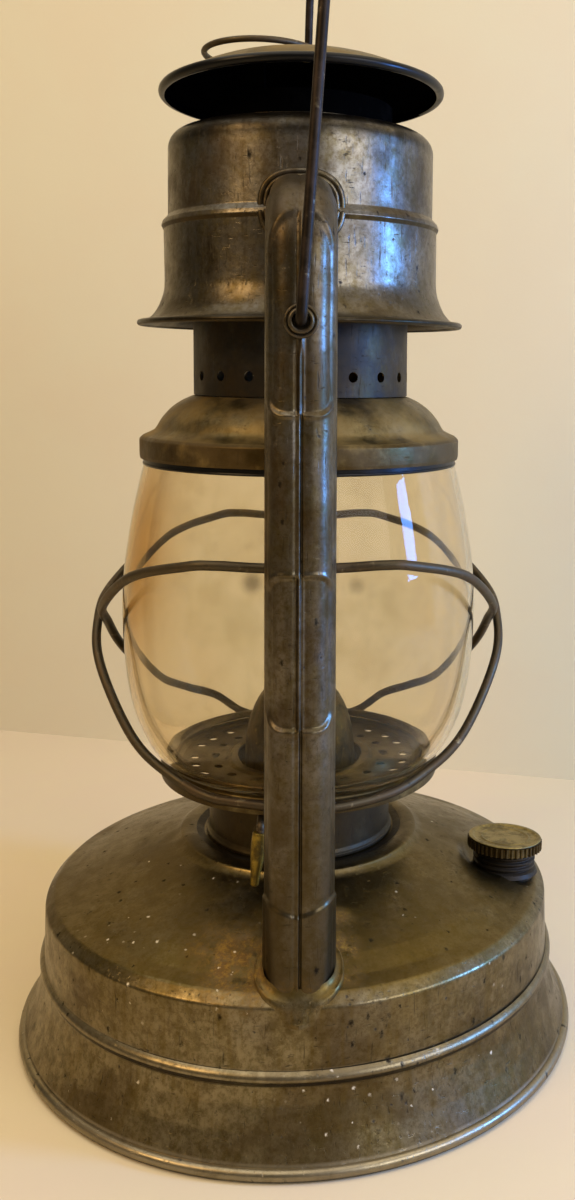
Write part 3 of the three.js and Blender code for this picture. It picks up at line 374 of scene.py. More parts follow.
# Blown soda-lime glass, faintly amber, with old smoke and finger film on it
def lanternGlass(name):
    material, tree, where = newMaterial(name)
    film = patches(tree, where, 30, 0.45, 0.7, detail=5)
    smears = patches(tree, where, 8, 0.6, 0.75, stretch=(1, 1, 0.35), detail=7)
    # where the globe is seen edge-on it is tinted amber: a painted reflection along its edges
    edge = addNode(tree, "ShaderNodeLayerWeight", inputs={"Blend": 0.35})
    smoked = patches(tree, where, 22, 0.12, 0.45)
    stain = combined(tree, around(tree, where, (-66, -14, 168), 12, 42), smoked)
    smudge = combined(tree, around(tree, where, (18, -61, 166), 1.5, 3),
                      around(tree, where, (-15, -60, 167), 1, 4), "ADD")
    colours = [(edge.outputs["Facing"], "#e6c891", 0.6), (film, "#ece0c0", 0.4),
               (stain, "#dcae52", 0.75), (smudge, "#6f675c", 0.8)]
    shader = addNode(tree, "ShaderNodeBsdfPrincipled", inputs={
        "Base Color": layered(tree, "#faf5e6", colours),
        "Roughness": layered(tree, 0.015, [(smears, 0.1, 0.6)]),
        "Normal": relief(tree, where, 24, 2.0, 0.12, 0.6),
        "IOR": 1.52,
        "Transmission Weight": 1.0,
        "Specular Tint": linear("#6c6c6c")})      # its dull film keeps reflections weak
    dust = addNode(tree, "ShaderNodeBsdfDiffuse", inputs={"Color": linear("#cbb98f")})
    amount = combined(tree, film, smears, "MAXIMUM")
    thin = addNode(tree, "ShaderNodeMath", {"operation": "MULTIPLY_ADD"}, {0: amount, 1: 0.05, 2: 0.015})
    both = addNode(tree, "ShaderNodeMixShader", inputs={
        0: thin.outputs[0], 1: shader.outputs[0], 2: dust.outputs[0]})
    addNode(tree, "ShaderNodeOutputMaterial", inputs={"Surface": both.outputs[0]})
    return material


# Dull non-metals: pressed cork granules, and a flat cotton weave
def dullFill(name, base, dark, grain, roughness):
    material, tree, where = newMaterial(name)
    bits = patches(tree, where, grain, 0.4, 0.6, detail=4)
    finishMaterial(tree, {"Base Color": layered(tree, base, [(bits, dark, 0.8)]), "Roughness": roughness})
    return material


# each band is its low and high edge, its fade, its colour and its strength; some are stains and wear, some
# are painted shade and painted highlights
materials = {
    # on the fount the foot roll and the seam ridge are painted paler, partly real wear and partly a painted
    # highlight; the dome is more tarnished above 50.6 mm
    "fount": tarnishedTin("tarnished tin fount", fountTinPaintedPaler, brownness=0.55, rustAt=footRust, paint=True,
                          marks=1.0, stainAndPaintedLightBands=[(1.6, 4.2, 0.8, "worn", 0.6), (26.6, 28.6, 0.8, "worn", 0.25),
                                            (50.6, 80, 2.5, "tarnish", 0.6)]),
    # the tubes are darker towards their feet, below 95 mm: painted shade
    "tube": tarnishedTin("tarnished tin tubes", greyTin, brownness=0.6, shift=(40, 0, 13), marks=0.4,
                         stainAndPaintedLightBands=[(0, 95, 45, "tarnish", 0.75)], rustAt=[((0, -86, 46), 3, 9, 0.35)]),
    "canopy": tarnishedTin("tarnished tin canopy", greyTin, wear=0.8, shift=(7, 31, 90), marks=0.7,
                           stainAndPaintedLightBands=[(236, 252, 8, "tarnish", 0.55), (306.5, 330, 3.5, "dark", 0.7),
                                  (230, 247.6, 1, "dark", 0.75)], stainedAt=canopyStains),
    # the holder's upright band, 190 to 208 mm, is painted darker brown: a painted reflection of the dark
    # room
    "holder": tarnishedTin("dusty tin holder", tinValues, wear=0.2, dust=0.9,
                           stainAndPaintedLightBands=[(190, 208, 1.5, "brown", 0.8)], shift=(5, 60, 4)),
    "chimney": tarnishedTin("heat-darkened tin chimney", darkTin, brownness=0.85, wear=0.1, soot=1.0,
                            sootAbove=295, shift=(33, 3, 8)),
    "capTop": tarnishedTin("smoked tin cap", tinValues, wear=0.2, dust=0.85, soot=0.25, shift=(9, 4, 2)),
    "dark": tarnishedTin("dark tin plate", tinValues, brownness=0.9, wear=0.1, soot=0.5, shift=(3, 14, 2)),
    "plate": tarnishedTin("olive tin plate", tinValues, brownness=0.85, wear=0.1, shift=(3, 14, 2)),
    "soot": bakedSoot("baked soot"),
    "mattSoot": bakedSoot("matt lamp soot", 0.0, 0.8),
    "wire": rustyWire("rusty steel wire"),
    "bail": rustyWire("brown steel bail", "#231d17", "#2f231a", wear=0.25),
    "brassy": agedBrass("olive brass screw cap", "#948656", "#5a4d2a"),
    "brass": agedBrass("dull brass finger piece", "#8f7a35", "#463716"),
    "burner": agedBrass("smoked burner brass", "#5c4e2e", "#241d10"),
    "glass": lanternGlass("amber-tinted globe glass"),
    "cork": dullFill("pressed cork", "#6b5138", "#3c2a1a", 1.5, 0.9),
    "cotton": dullFill("cotton wick", "#cfc6ad", "#9d947c", 0.8, 0.95),
}
print("materials made:", len(materials))


# Mesh code

# Rounds the corners of an open outline
def rounded(points, radius, steps=4):
    points = [np.array(p, float) for p in points]
    radii = radius if isinstance(radius, (list, tuple)) else [radius] * (len(points) - 2)
    out = [points[0]]
    for i, size in zip(range(1, len(points) - 1), radii):
        here = points[i]
        back, on = points[i - 1] - here, points[i + 1] - here
        lengths = np.linalg.norm(back), np.linalg.norm(on)
        turn = math.acos(np.clip(back @ on / lengths[0] / lengths[1], -1, 1))
        reach = min(size / max(math.tan(turn / 2), 0.05), lengths[0] * 0.48, lengths[1] * 0.48)
        start, end = here + back / lengths[0] * reach, here + on / lengths[1] * reach
        for t in np.linspace(0, 1, steps + 1):
            out.append(start * (1 - t) ** 2 + here * 2 * t * (1 - t) + end * t ** 2)
    out.append(points[-1])
    return np.array(out)


# A smooth line through given points
def smoothLine(points, perSpan=6):
    p = np.array(points, float)
    p = np.vstack([2 * p[0] - p[1], p, 2 * p[-1] - p[-2]])
    out = []
    for i in range(1, len(p) - 2):
        for t in np.linspace(0, 1, perSpan, endpoint=False):
            out.append(0.5 * (2 * p[i] + (p[i + 1] - p[i - 1]) * t
                              + (2 * p[i - 1] - 5 * p[i] + 4 * p[i + 1] - p[i + 2]) * t ** 2
                              + (3 * p[i] - p[i - 1] - 3 * p[i + 1] + p[i + 2]) * t ** 3))
    out.append(p[-2])
    return np.array(out)


# Moves an outline to its left
def offsetLine(points, distance):
    step = np.diff(points, axis=0)
    step /= np.linalg.norm(step, axis=1)[:, None]
    ahead = np.vstack([step, step[-1]])
    behind = np.vstack([step[0], step])
    middle = ahead + behind
    middle /= np.linalg.norm(middle, axis=1)[:, None]
    stretch = np.clip(1 / (middle * behind).sum(1), 1, 2)
    return points + np.stack([-middle[:, 1], middle[:, 0]], 1) * (distance * stretch)[:, None]


def arc(centre, radius, start, end, steps=8):
    turn = np.radians(np.linspace(start, end, steps + 1))
    return np.stack([centre[0] + radius * np.cos(turn), centre[1] + radius * np.sin(turn)], 1)


# A sine or cosine made squarer or rounder
def bowed(value, power):
    return np.sign(value) * np.abs(value) ** power


# Quads between rows of places, each row a closed ring, and flat ends unless the last row meets the first
def rowFaces(rows, count, closed=False):
    i, j = np.meshgrid(np.arange(rows if closed else rows - 1), np.arange(count), indexing="ij")
    here, after, beside = i * count, (i + 1) % rows * count, (j + 1) % count
    faces = np.stack([here + j, here + beside, after + beside, after + j], -1).reshape(-1, 4).tolist()
    if not closed:
        faces += [list(range(count))[::-1], list(range((rows - 1) * count, rows * count))]
    return faces


# Turns a closed outline of radius and height round the upright axis
def turnedFaces(outline, steps=144, wobble=0.0, seed=0.0):
    turn = np.arange(steps) / steps * 2 * math.pi
    radius = np.repeat(outline[None, :, 0], steps, 0)
    height = np.repeat(outline[None, :, 1], steps, 0)
    if wobble:   # hand-worn sheet is never quite round
        a = turn[:, None]
        h = height / 23 + seed
        radius = radius + wobble * (0.5 * np.sin(2 * a + seed) + 0.35 * np.sin(3 * a + 1.7 * seed + h)
                                    + 0.25 * np.sin(5 * a - 2 * h) + 0.16 * np.sin(9 * a + 3 * h + seed))
    places = np.stack([radius * np.cos(turn)[:, None], radius * np.sin(turn)[:, None], height], -1)
    return places.reshape(-1, 3), rowFaces(steps, len(outline), closed=True)


def shellFaces(outer, wall, steps=144, wobble=0.0, seed=0.0):
    outer = outer[np.append(True, np.linalg.norm(np.diff(outer, axis=0), axis=1) > 0.002)]
    inner = offsetLine(outer, wall)
    inner[:, 0] = np.maximum(inner[:, 0], 0)
    return turnedFaces(np.vstack([outer, inner[::-1]]), steps, wobble, seed)


def ringFaces(radius, height, size, steps=144, sides=14):
    return turnedFaces(arc((radius, height), size, 0, 360, sides)[:-1], steps)


# Runs a round or given section along a path
def sweptFaces(path, section, closed=False, sides=12, upright=None):
    path = np.array(path, float)
    if np.isscalar(section):
        section = arc((0, 0), section, 0, 360, sides)[:-1]
    after = np.roll(path, -1, 0) - path
    before = path - np.roll(path, 1, 0)
    if not closed:
        after[-1], before[0] = before[-1], after[0]
    after /= np.linalg.norm(after, axis=1)[:, None]
    before /= np.linalg.norm(before, axis=1)[:, None]
    along = after + before
    along /= np.linalg.norm(along, axis=1)[:, None]
    side = np.cross(along[0], upright if upright is not None else (0.31, 0.2, 0.93))
    rings = []
    for here, ahead in zip(path, along):
        if upright is not None:
            side = np.cross(ahead, upright)
        side = side - ahead * (side @ ahead)
        side /= np.linalg.norm(side)
        other = np.cross(side, ahead)
        rings.append(here + section[:, :1] * side + section[:, 1:] * other)
    return np.vstack(rings), rowFaces(len(path), len(section), closed)


def boxFaces(low, high):
    x, y, z = zip(low, high)
    places = np.array([(x[i], y[j], z[k]) for i in (0, 1) for j in (0, 1) for k in (0, 1)], float)
    return places, [[0, 1, 3, 2], [4, 6, 7, 5], [0, 4, 5, 1], [2, 3, 7, 6], [0, 2, 6, 4], [1, 5, 7, 3]]


def joinedFaces(parts):
    places, faces, base = [], [], 0
    for vertices, quads in parts:
        places.append(vertices)
        faces.extend([[base + k for k in face] for face in quads])
        base += len(vertices)
    return np.vstack(places), faces


# Gives the faces that a test picks a finish of their own
def finishFaces(mesh, material, picked):
    mesh.materials.append(materials[material])
    for face in mesh.polygons:
        if picked(face):
            face.material_index = len(mesh.materials) - 1


def facesInwards(face):
    out = Vector((face.center.x, face.center.y, 0)).normalized()
    return face.normal.z < -0.35 or face.normal.dot(out) < -0.25


def newPiece(name, parts, material, sharp=35, place=None, inside=None):
    places, faces = joinedFaces(parts)
    if place is not None:
        places = (np.array(place) @ np.hstack([places, np.ones((len(places), 1))]).T).T[:, :3]
    mesh = bpy.data.meshes.new(name)
    mesh.from_pydata((places * mm).tolist(), [], faces)
    work = bmesh.new()
    work.from_mesh(mesh)
    bmesh.ops.remove_doubles(work, verts=work.verts, dist=1e-6)
    bmesh.ops.dissolve_degenerate(work, edges=work.edges, dist=1e-7)
    bmesh.ops.recalc_face_normals(work, faces=work.faces)
    work.to_mesh(mesh)
    work.free()
    mesh.materials.append(materials[material])
    if inside:
        finishFaces(mesh, inside, facesInwards)
    mesh.shade_smooth()
    mesh.set_sharp_from_angle(angle=math.radians(sharp))
    piece = bpy.data.objects.new(name, mesh)
    bpy.context.scene.collection.objects.link(piece)
    return piece


def seat(piece, body, slot, *replaced):
    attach(piece, body)
    if replaced:
        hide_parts(*replaced)


def applyModifiers(piece):
    bpy.context.view_layer.update()
    made = bpy.data.meshes.new_from_object(piece.evaluated_get(bpy.context.evaluated_depsgraph_get()))
    piece.modifiers.clear()
    piece.data = made
    made.name = piece.name


# Cuts one piece by another and keeps only the result
def cutBy(piece, cutter):
    cut = piece.modifiers.new("cut", "BOOLEAN")
    cut.operation, cut.solver, cut.object = "DIFFERENCE", "EXACT", cutter
    applyModifiers(piece)
    bpy.data.objects.remove(cutter)
    piece.data.set_sharp_from_angle(angle=math.radians(35))
    return piece


# Geometry Nodes: upright or lying cylinders spaced round a circle, for perforations and knurls
def ringTree():
    tree = bpy.data.node_groups.new("cylinders round a circle", "GeometryNodeTree")
    tree.interface.new_socket("Geometry", in_out="OUTPUT", socket_type="NodeSocketGeometry")
    for name, kind in (("Count", "Int"), ("Circle radius", "Float"), ("Cylinder radius", "Float"),
                       ("Cylinder length", "Float"), ("Tilt", "Float"), ("First turn", "Float"),
                       ("Height", "Float"), ("Sides", "Int")):
        tree.interface.new_socket(name, in_out="INPUT", socket_type="NodeSocket" + kind)
    tree.interface.new_socket("Material", in_out="INPUT", socket_type="NodeSocketMaterial")
    given = addNode(tree, "NodeGroupInput").outputs
    index = addNode(tree, "GeometryNodeInputIndex")
    step = addNode(tree, "ShaderNodeMath", {"operation": "DIVIDE"}, {0: 2 * math.pi, 1: given["Count"]})
    angle = addNode(tree, "ShaderNodeMath", {"operation": "MULTIPLY_ADD"}, {
        0: index.outputs[0], 1: step.outputs[0], 2: given["First turn"]})
    reaches = []
    for operation in ("COSINE", "SINE"):
        part = addNode(tree, "ShaderNodeMath", {"operation": operation}, {0: angle.outputs[0]})
        reaches.append(addNode(tree, "ShaderNodeMath", {"operation": "MULTIPLY"}, {
            0: part.outputs[0], 1: given["Circle radius"]}).outputs[0])
    place = addNode(tree, "ShaderNodeCombineXYZ", inputs={0: reaches[0], 1: reaches[1], 2: given["Height"]})
    points = addNode(tree, "GeometryNodePoints", inputs={
        "Count": given["Count"], "Position": place.outputs[0]})
    angles = addNode(tree, "ShaderNodeCombineXYZ", inputs={1: given["Tilt"], 2: angle.outputs[0]})
    turned = addNode(tree, "FunctionNodeEulerToRotation", inputs={0: angles.outputs[0]})
    cylinder = addNode(tree, "GeometryNodeMeshCylinder", inputs={
        "Vertices": given["Sides"], "Radius": given["Cylinder radius"], "Depth": given["Cylinder length"]})
    copies = addNode(tree, "GeometryNodeInstanceOnPoints", inputs={
        "Points": points.outputs[0], "Instance": cylinder.outputs[0], "Rotation": turned.outputs[0]})
    real = addNode(tree, "GeometryNodeRealizeInstances", inputs={0: copies.outputs[0]})
    finish = addNode(tree, "GeometryNodeSetMaterial", inputs={
        "Geometry": real.outputs[0], "Material": given["Material"]})
    addNode(tree, "NodeGroupOutput", inputs={0: finish.outputs[0]})
    return tree


cylinderRing = ringTree()


# A piece from that group: sizes in mm, angles in radians
def ringOf(name, material, *, count, circle, radius, length, height, sides, tilt=0.0, firstTurn=0.0,
           place=None):
    values = {
        "Count": count, "Circle radius": circle * mm, "Cylinder radius": radius * mm,
        "Cylinder length": length * mm, "Tilt": tilt, "First turn": firstTurn, "Height": height * mm,
        "Sides": sides, "Material": materials[material],
    }
    base = bpy.data.objects.new(name, bpy.data.meshes.new(name))
    bpy.context.scene.collection.objects.link(base)
    made = base.modifiers.new("ring", "NODES")
    made.node_group = cylinderRing
    for item in cylinderRing.interface.items_tree:
        if item.in_out == "INPUT":
            made[item.identifier] = values[item.name]
    applyModifiers(base)
    if place is not None:
        base.data.transform(place)
    return base


# The turn that lays a piece's Z along an axis at a place: for its places in mm, and for a finished mesh
def laidAlong(place, axis):
    turn = Vector(axis).to_track_quat("Z", "Y").to_matrix().to_4x4()
    return Matrix.Translation(place) @ turn, Matrix.Translation(Vector(place) * mm) @ turn


# Fount: dome with its wall, the flared skirt and the bottom

fillerValues = {
    "place": (73.8592, -10.6433, 53.965), "axis": (0.0345683, 0.0566978, 0.9977928),
    "neck": 10.6, "neckTop": 7.9, "neckFoot": -16, "beads": (1.3, 3.3, 5.2), "wall": 0.8,
    "capRadius": 13.45, "capFoot": 6.2, "capTop": 10.4, "capBore": 11.15, "lid": 0.9,
    "ribs": 44, "ribSize": 0.62,
}

fountValues = {
    "shoulderRadius": 89.3, "shoulderHeight": 45.5,
    "domeRidge": (39, 66.35, 3.6, 1.0), "collarSeat": 30,
    "wallFoot": (89.8, 28.0), "footRadius": 97.0, "footRoll": 1.95,
    "wall": 0.8, "dents": 0.35, "recess": (11.5, 17),      # dent round the filler, from its neck outwards
}


def makeFount(values):
    shoulder, height = values["shoulderRadius"], values["shoulderHeight"]
    ridgeRadius, ridgeHeight, ridgeHalf, ridgeRise = values["domeRidge"]
    ridgeTurn = np.radians(np.linspace(8, 172, 15))
    outer = np.vstack([
        rounded([
            values["wallFoot"], (shoulder - 0.1, height + 1.6), (shoulder - 3.2, height + 4.5),
            (shoulder - 8.3, height + 6.1), (74, 54.6), (64, 58.1), (52, 62.3),
            (ridgeRadius + 6, ridgeHeight - 1.7), (ridgeRadius + 3.9, ridgeHeight - 0.4),
        ], [2.2, 3, 12, 14, 14, 14, 5], 9),
        np.stack([ridgeRadius + ridgeHalf * np.cos(ridgeTurn),
                  ridgeHeight + ridgeRise * np.sin(ridgeTurn)], 1),
        rounded([(35.6, 66.5), (32, 66.4), (values["collarSeat"], 66.4)], 1),
    ])
    lengths = np.linalg.norm(np.diff(outer, axis=0), axis=1)
    fine = [outer[0]]
    for start, end, length in zip(outer[:-1], outer[1:], lengths):      # even rows for a smooth recess
        count = max(1, round(length / 1.4)) if start[0] < 89 else 1
        fine += [start + (end - start) * k / count for k in range(1, count + 1)]
    places, faces = shellFaces(np.array(fine), values["wall"], 288, values["dents"], 0.4)
    seatPlace, seatAxis = np.array(fillerValues["place"]), np.array(fillerValues["axis"])
    away = np.hypot(places[:, 0] - seatPlace[0], places[:, 1] - seatPlace[1])
    flat = seatPlace[2] - 0.2 - (places[:, :2] - seatPlace[:2]) @ seatAxis[:2] / seatAxis[2]
    reach = np.clip((values["recess"][1] - away) / (values["recess"][1] - values["recess"][0]), 0, 1)
    drop = np.clip(places[:, 2] - flat, 0, 9) * (places[:, 2] > 40)
    places[:, 2] -= 0.8 * drop * reach * reach * (3 - 2 * reach)
    dome = newPiece("fountDome", [(places, faces)], "fount", inside="dark")
    seat(dome, "body", "tinplate", "fount_dome")

    foot, roll = values["footRadius"], values["footRoll"]
    top = values["wallFoot"][1]
    skirtLine = np.vstack([        # its top edge is turned over and lies on the wall as a soft ridge
        rounded([(foot - 0.6, 1.2), (foot - 0.1, 3.4), (93.6, 11.6), (91.3, 19), (90.5, top - 4.8)],
                [1, 14, 14], 6),
        smoothLine([(90.5, top - 4.1), (90.85, top - 3.2), (91.4, top - 2.3), (91.65, top - 1.4),
                    (91.3, top - 0.5), (90.7, top + 0.15), (90.05, top + 0.6)], 4),
    ])
    skirt = shellFaces(skirtLine, values["wall"], 192, values["dents"], 2.1)
    rim = ringFaces(foot, roll * 0.99, roll * 0.99, 192)
    seat(newPiece("fountSkirt", [skirt, rim], "fount", inside="dark"), "body", "tinplate", "fount_skirt")

    line = rounded([(92.8, 4.4), (92.4, 9.7), (70, 9.6), (66, 8.6), (0, 8.6)], [2, 3, 3])
    bottom = newPiece("fountBottom", [shellFaces(line, values["wall"], 96)], "dark")
    seat(bottom, "body", "dark_tin", "fount_bottom")


makeFount(fountValues)
print("fount made")


# Side tubes, each with its elbow, as one run; the front tube is made and turned for the rear

tubeValues = {
    "width": 21.0, "depth": 17.0, "squareness": 2.6,
    "footCentre": 78.12, "slope": 0.0236, "footHeight": 45.5, "start": 46.0,
    "bendStart": 266.45, "bendHeight": 15.5, "drumEdge": 50.3, "centreHeight": 282.15, "end": 41.5,
    "panels": [(128.5, 172.5, 5.0, 5.0), (219.5, 272.0, 5.0, 8.6)],    # low, high, corner radius at each
    "panelDepth": 0.7, "panelInner": 0.8, "panelOuter": 9.8, "panelEdge": 1.5,
    "belly": 0.75,                                      # each half of the front bulges beside the seam
    "seamHeight": 0.45, "seamWidth": 0.4, "seamOffset": -0.5, "seamTop": 239,
    "sleeveHeight": 76.2, "sleeveStep": 0.5, "sleeveDip": 3.6,
    # the soldered foot from the tube outwards: the share of its width, and its height over the dome
    "flange": [(0, 2.6), (0.1, 1.9), (0.28, 1.25), (0.6, 1.0), (0.84, 1.15), (0.96, 0.95), (1.02, 0.45),
               (1.02, -0.3), (0.6, -0.5), (0, -0.5)],
}


def tubeRun(values):
    centreAt = lambda z: values["footCentre"] - (z - values["footHeight"]) * values["slope"]
    edges = [z for panel in values["panels"] for z in panel[:2]]
    edges += [values["sleeveHeight"] - 1, values["seamTop"]]
    heights = set(np.arange(values["start"], values["bendStart"], 1.6).round(3))
    for edge in edges:
        heights |= set(np.arange(edge - 8, min(edge + 6.5, values["bendStart"] - 0.1), 0.34).round(3))
    heights = np.array(sorted(heights))
    heights = heights[np.append(True, np.diff(heights) > 0.15)]
    rows = [(centreAt(z), z) for z in heights]
    top = centreAt(values["bendStart"])
    for turn in np.linspace(0, math.pi / 2, 60)[1:]:
        rows.append((values["drumEdge"] + (top - values["drumEdge"]) * math.cos(turn),
                     values["bendStart"] + values["bendHeight"] * math.sin(turn)))
    for y in np.linspace(values["drumEdge"], values["end"], 6)[1:]:
        rows.append((y, values["centreHeight"]))
    rows = np.array(rows)
    power = values["squareness"]
    half, deep = values["width"] / 2, values["depth"] / 2
    turns = set(np.linspace(0, 2 * math.pi, 112, endpoint=False).round(5))
    for x in np.arange(-2.4, 1.6, 0.16):
        turns.add(round(math.acos(math.copysign((abs(x) / half) ** (power / 2), x)), 5))
    turns = np.array(sorted(turns))
    turns = turns[np.append(True, np.diff(turns) > 0.004)]
    c, s = np.cos(turns), np.sin(turns)
    x = half * bowed(c, 2 / power)
    out = deep * bowed(s, 2 / power)
    step = np.gradient(rows, axis=0)
    step /= np.linalg.norm(step, axis=1)[:, None]
    away = np.stack([step[:, 1], -step[:, 0]], 1)      # outwards, square to the run
    front = np.clip(s * 4, 0, 1)[None, :]
    lengths = np.linalg.norm(np.diff(rows, axis=0), axis=1)
    along = np.append(0, np.cumsum(lengths))[:, None] + values["start"]
    across = x[None, :] - values["seamOffset"]
    share = np.clip(np.abs(across) / (half - 0.6), 0, 1)
    below = np.clip((values["seamTop"] - along) / 4, 0, 1)
    ridge = values["seamHeight"] * np.exp(-(across / values["seamWidth"]) ** 2)
    groove = -0.2 * np.exp(-((across + 1.05) / 0.42) ** 2) - 0.6 * np.exp(-((across - 0.75) / 0.36) ** 2)
    belly = values["belly"] * (np.sin(math.pi * share ** 0.8) - 0.5 - 0.5 * share)
    rise = front * (below * (ridge + groove) + belly)
    inner, outer, edge = values["panelInner"], values["panelOuter"], values["panelEdge"]
    for low, high, lowCorner, highCorner in values["panels"]:
        for side in (-1, 1):
            fromMiddle = side * (x[None, :] - (inner + outer) / 2 * side)
            corner = np.where(along > (low + high) / 2, highCorner, lowCorner)
            tight = np.where(fromMiddle > (inner - outer) / 2 + 0.6,
                             np.minimum(corner, outer - inner - 0.5), 0.5)
            dx = np.where(fromMiddle > 0, fromMiddle - (outer - inner) / 2 + tight,
                          -fromMiddle - (outer - inner) / 2 + 0.5)
            dx = np.where((fromMiddle <= 0) & (fromMiddle + (outer - inner) / 2 > 0.5),
                          fromMiddle - (outer - inner) / 2 + tight, dx)
            dz = np.abs(along - (low + high) / 2) - (high - low) / 2 + tight
            outside = np.hypot(np.maximum(dx, 0), np.maximum(dz, 0))
            outside += np.minimum(np.maximum(dx, dz), 0) - tight
            inside = np.clip(0.5 - outside / edge, 0, 1)
            inside = inside * inside * (3 - 2 * inside)
            lip = 0.22 * np.exp(-((outside - 0.9) / 0.6) ** 2)
            rise += front * (lip - values["panelDepth"] * inside)
    dip = values["sleeveHeight"] - values["sleeveDip"] * (1 - share)
    sleeve = 1 / (1 + np.exp(np.clip((along - dip) / 0.3, -30, 30)))
    bead = np.exp(-((along - dip) / 0.6) ** 2)
    rise += np.clip(s * 6 + 1, 0, 1)[None, :] * (values["sleeveStep"] * sleeve + 0.2 * bead)
    rise += front * (0.05 * np.sin(along / 7.3 + x[None, :] / 3)      # slight waves from use
                     + 0.04 * np.sin(along / 3.1 - x[None, :] / 2))
    normalX = bowed(c, 2 - 2 / power) / half
    normalOut = bowed(s, 2 - 2 / power) / deep
    size = np.hypot(normalX, normalOut)
    normalX, normalOut = normalX / size, normalOut / size
    px = x[None, :] + rise * normalX[None, :]
    po = out[None, :] + rise * normalOut[None, :]
    places = np.stack([px, -(rows[:, :1] + away[:, :1] * po), rows[:, 1:] + away[:, 1:] * po], -1)
    return places.reshape(-1, 3), rowFaces(len(rows), len(turns))


def ovalPath(values, grow, steps=96):
    turn = np.arange(steps) / steps * 2 * math.pi
    power = 2 / values["squareness"]
    return ((values["width"] / 2 + grow) * bowed(np.cos(turn), power),
            (values["depth"] / 2 + grow) * bowed(np.sin(turn), power))


def domeHeight(radius):
    line = np.array([(30, 66.4), (40, 67.6), (44, 66.2), (52, 62.6), (64, 58.2), (74, 54.7), (81, 51.7),
                     (84, 50.9), (86.1, 50), (88, 48.4), (89.1, 46.6), (89.4, 42)])
    return np.interp(radius, line[:, 0], line[:, 1])


def makeTube(values, side, turnBy):
    run = tubeRun(values)
    spin = Matrix.Rotation(turnBy, 4, "Z")
    seat(newPiece(f"sideTube{side}", [run], "tube", place=spin, sharp=50), "body", "tinplate",
         f"tube_{side.lower()}", f"elbow_{side.lower()}")
    # soldered foot: a smooth flange that draws to a point under the seam
    x, out = ovalPath(values, 0)
    grown = 2.9 + 1.2 * np.exp(-(x / 1.6) ** 2) * (out > 0)
    nearX, nearOut = ovalPath(values, 0.2)
    farX = x + grown * bowed(x / (values["width"] / 2), 1.3)
    farOut = out + grown * bowed(out / (values["depth"] / 2), 1.3)
    rings = []
    for share, lift in values["flange"]:
        rx, ro = nearX + (farX - nearX) * share, nearOut + (farOut - nearOut) * share
        y = -(values["footCentre"] + ro)
        rings.append(np.stack([rx, y, domeHeight(np.hypot(rx, y)) + lift], 1))
    lip = (np.vstack(rings), rowFaces(len(rings), len(x), closed=True))
    seat(newPiece(f"footLip{side}", [lip], "fount", place=spin), "body", "tinplate",
         f"foot_flange_{side.lower()}")
    # two beads round the elbow where it enters the canopy, the inner one crinkled
    collars = []
    for grow, size, stand, crinkle in ((0.55, 0.85, 0.5, 0.12), (2.1, 1.15, -0.15, 0.0)):
        x, out = ovalPath(values, grow)
        z = values["centreHeight"] + out
        drum = np.where(z < 280.5, 46.9, 45.4) + stand
        ripple = 1 + crinkle * np.sin(np.arange(len(x)) * 1.9) * np.sin(np.arange(len(x)) * 0.7)
        y = -np.sqrt(drum ** 2 - x ** 2) * (1 + 0.006 * (ripple - 1))
        collars.append(sweptFaces(np.stack([x * ripple ** 0.06, y, z], 1), size, closed=True))
    seat(newPiece(f"elbowCollar{side}", collars, "tube", place=spin), "body", "tinplate",
         f"tube_collar_{side.lower()}")


def makeEar(values, side, turnBy):
    # turned about its own axis, then laid against the tube's outer face
    line = np.vstack([
        [(0, 0.3)], [(2.2, 0.3)], [(2.25, 2.6)],
        arc((3.0, 3.5), 0.75, 180, 0, 8),
        [(3.75, 2.0), (3.8, 1.5)],
        arc((4.35, 1.6), 0.62, 150, -60, 8),
        [(4.5, 0.2), (4.4, -0.9), (0, -0.9)],
    ])
    cup = turnedFaces(line, 64)
    lay = (Matrix.Rotation(turnBy, 4, "Z") @ Matrix.Translation((0, -values["face"], values["height"]))
           @ Matrix.Rotation(math.pi / 2, 4, "X"))
    seat(newPiece(f"bailEar{side}", [cup], "tube", place=lay), "body", "tinplate", f"ear_{side.lower()}")


earValues = {"face": 82.3, "height": 245.45}
for side, turnBy in (("Front", 0.0), ("Rear", math.pi)):
    makeTube(tubeValues, side, turnBy)
    makeEar(earValues, side, turnBy)
print("side tubes, elbows and ears made")


# Canopy

canopyValues = {
    "lipRadius": 55.4, "lip": 247.25, "lipRoll": 1.0, "drum": 46.9,
    "step": 279.6, "stepBead": 0.75, "upper": 45.4, "upperFoot": 283.0, "crown": 305.55, "top": 311.75,
    "crownInset": 6.0, "bore": 31.7, "wall": 0.8, "dents": 0.3,
}


def makeCanopy(values):
    lip, drum, step, upper = (values[k] for k in ("lip", "drum", "step", "upper"))
    top, bore, inset = values["top"], values["bore"], values["crownInset"]
    rise = top - values["crown"]
    crownTurn = np.radians(np.linspace(4, 86, 14))
    outer = np.vstack([
        smoothLine([(values["lipRadius"], lip), (52.4, lip + 1.5), (50, lip + 4.1), (48.3, lip + 7.6),
                    (47.2, lip + 11.2), (drum, lip + 15)], 6),
        rounded([(drum, 268), (drum, step - 0.9), (drum + values["stepBead"], step + 0.5),
                 (drum + 0.3, step + 1.9), (upper, values["upperFoot"] + 0.4),
                 (upper, values["crown"])], [0.6, 0.7, 0.7, 0.8], 5),
        np.stack([upper - inset + inset * np.cos(crownTurn),
                  values["crown"] + rise * np.sin(crownTurn)], 1),
        rounded([(upper - inset - 1.2, top + 0.03), (bore + 2.6, top + 0.05), (bore + 0.9, top + 0.4),
                 (bore + 0.8, top + 1.8)], [1, 0.4], 5),
    ])
    shell = shellFaces(outer, values["wall"], 192, values["dents"], 1.3)
    roll = ringFaces(values["lipRadius"], lip - 0.05, values["lipRoll"], 192)
    seat(newPiece("canopy", [shell, roll], "canopy", inside="dark"), "body", "tinplate", "canopy")


makeCanopy(canopyValues)


# Globe holder, chimney and rain cap, which lift together

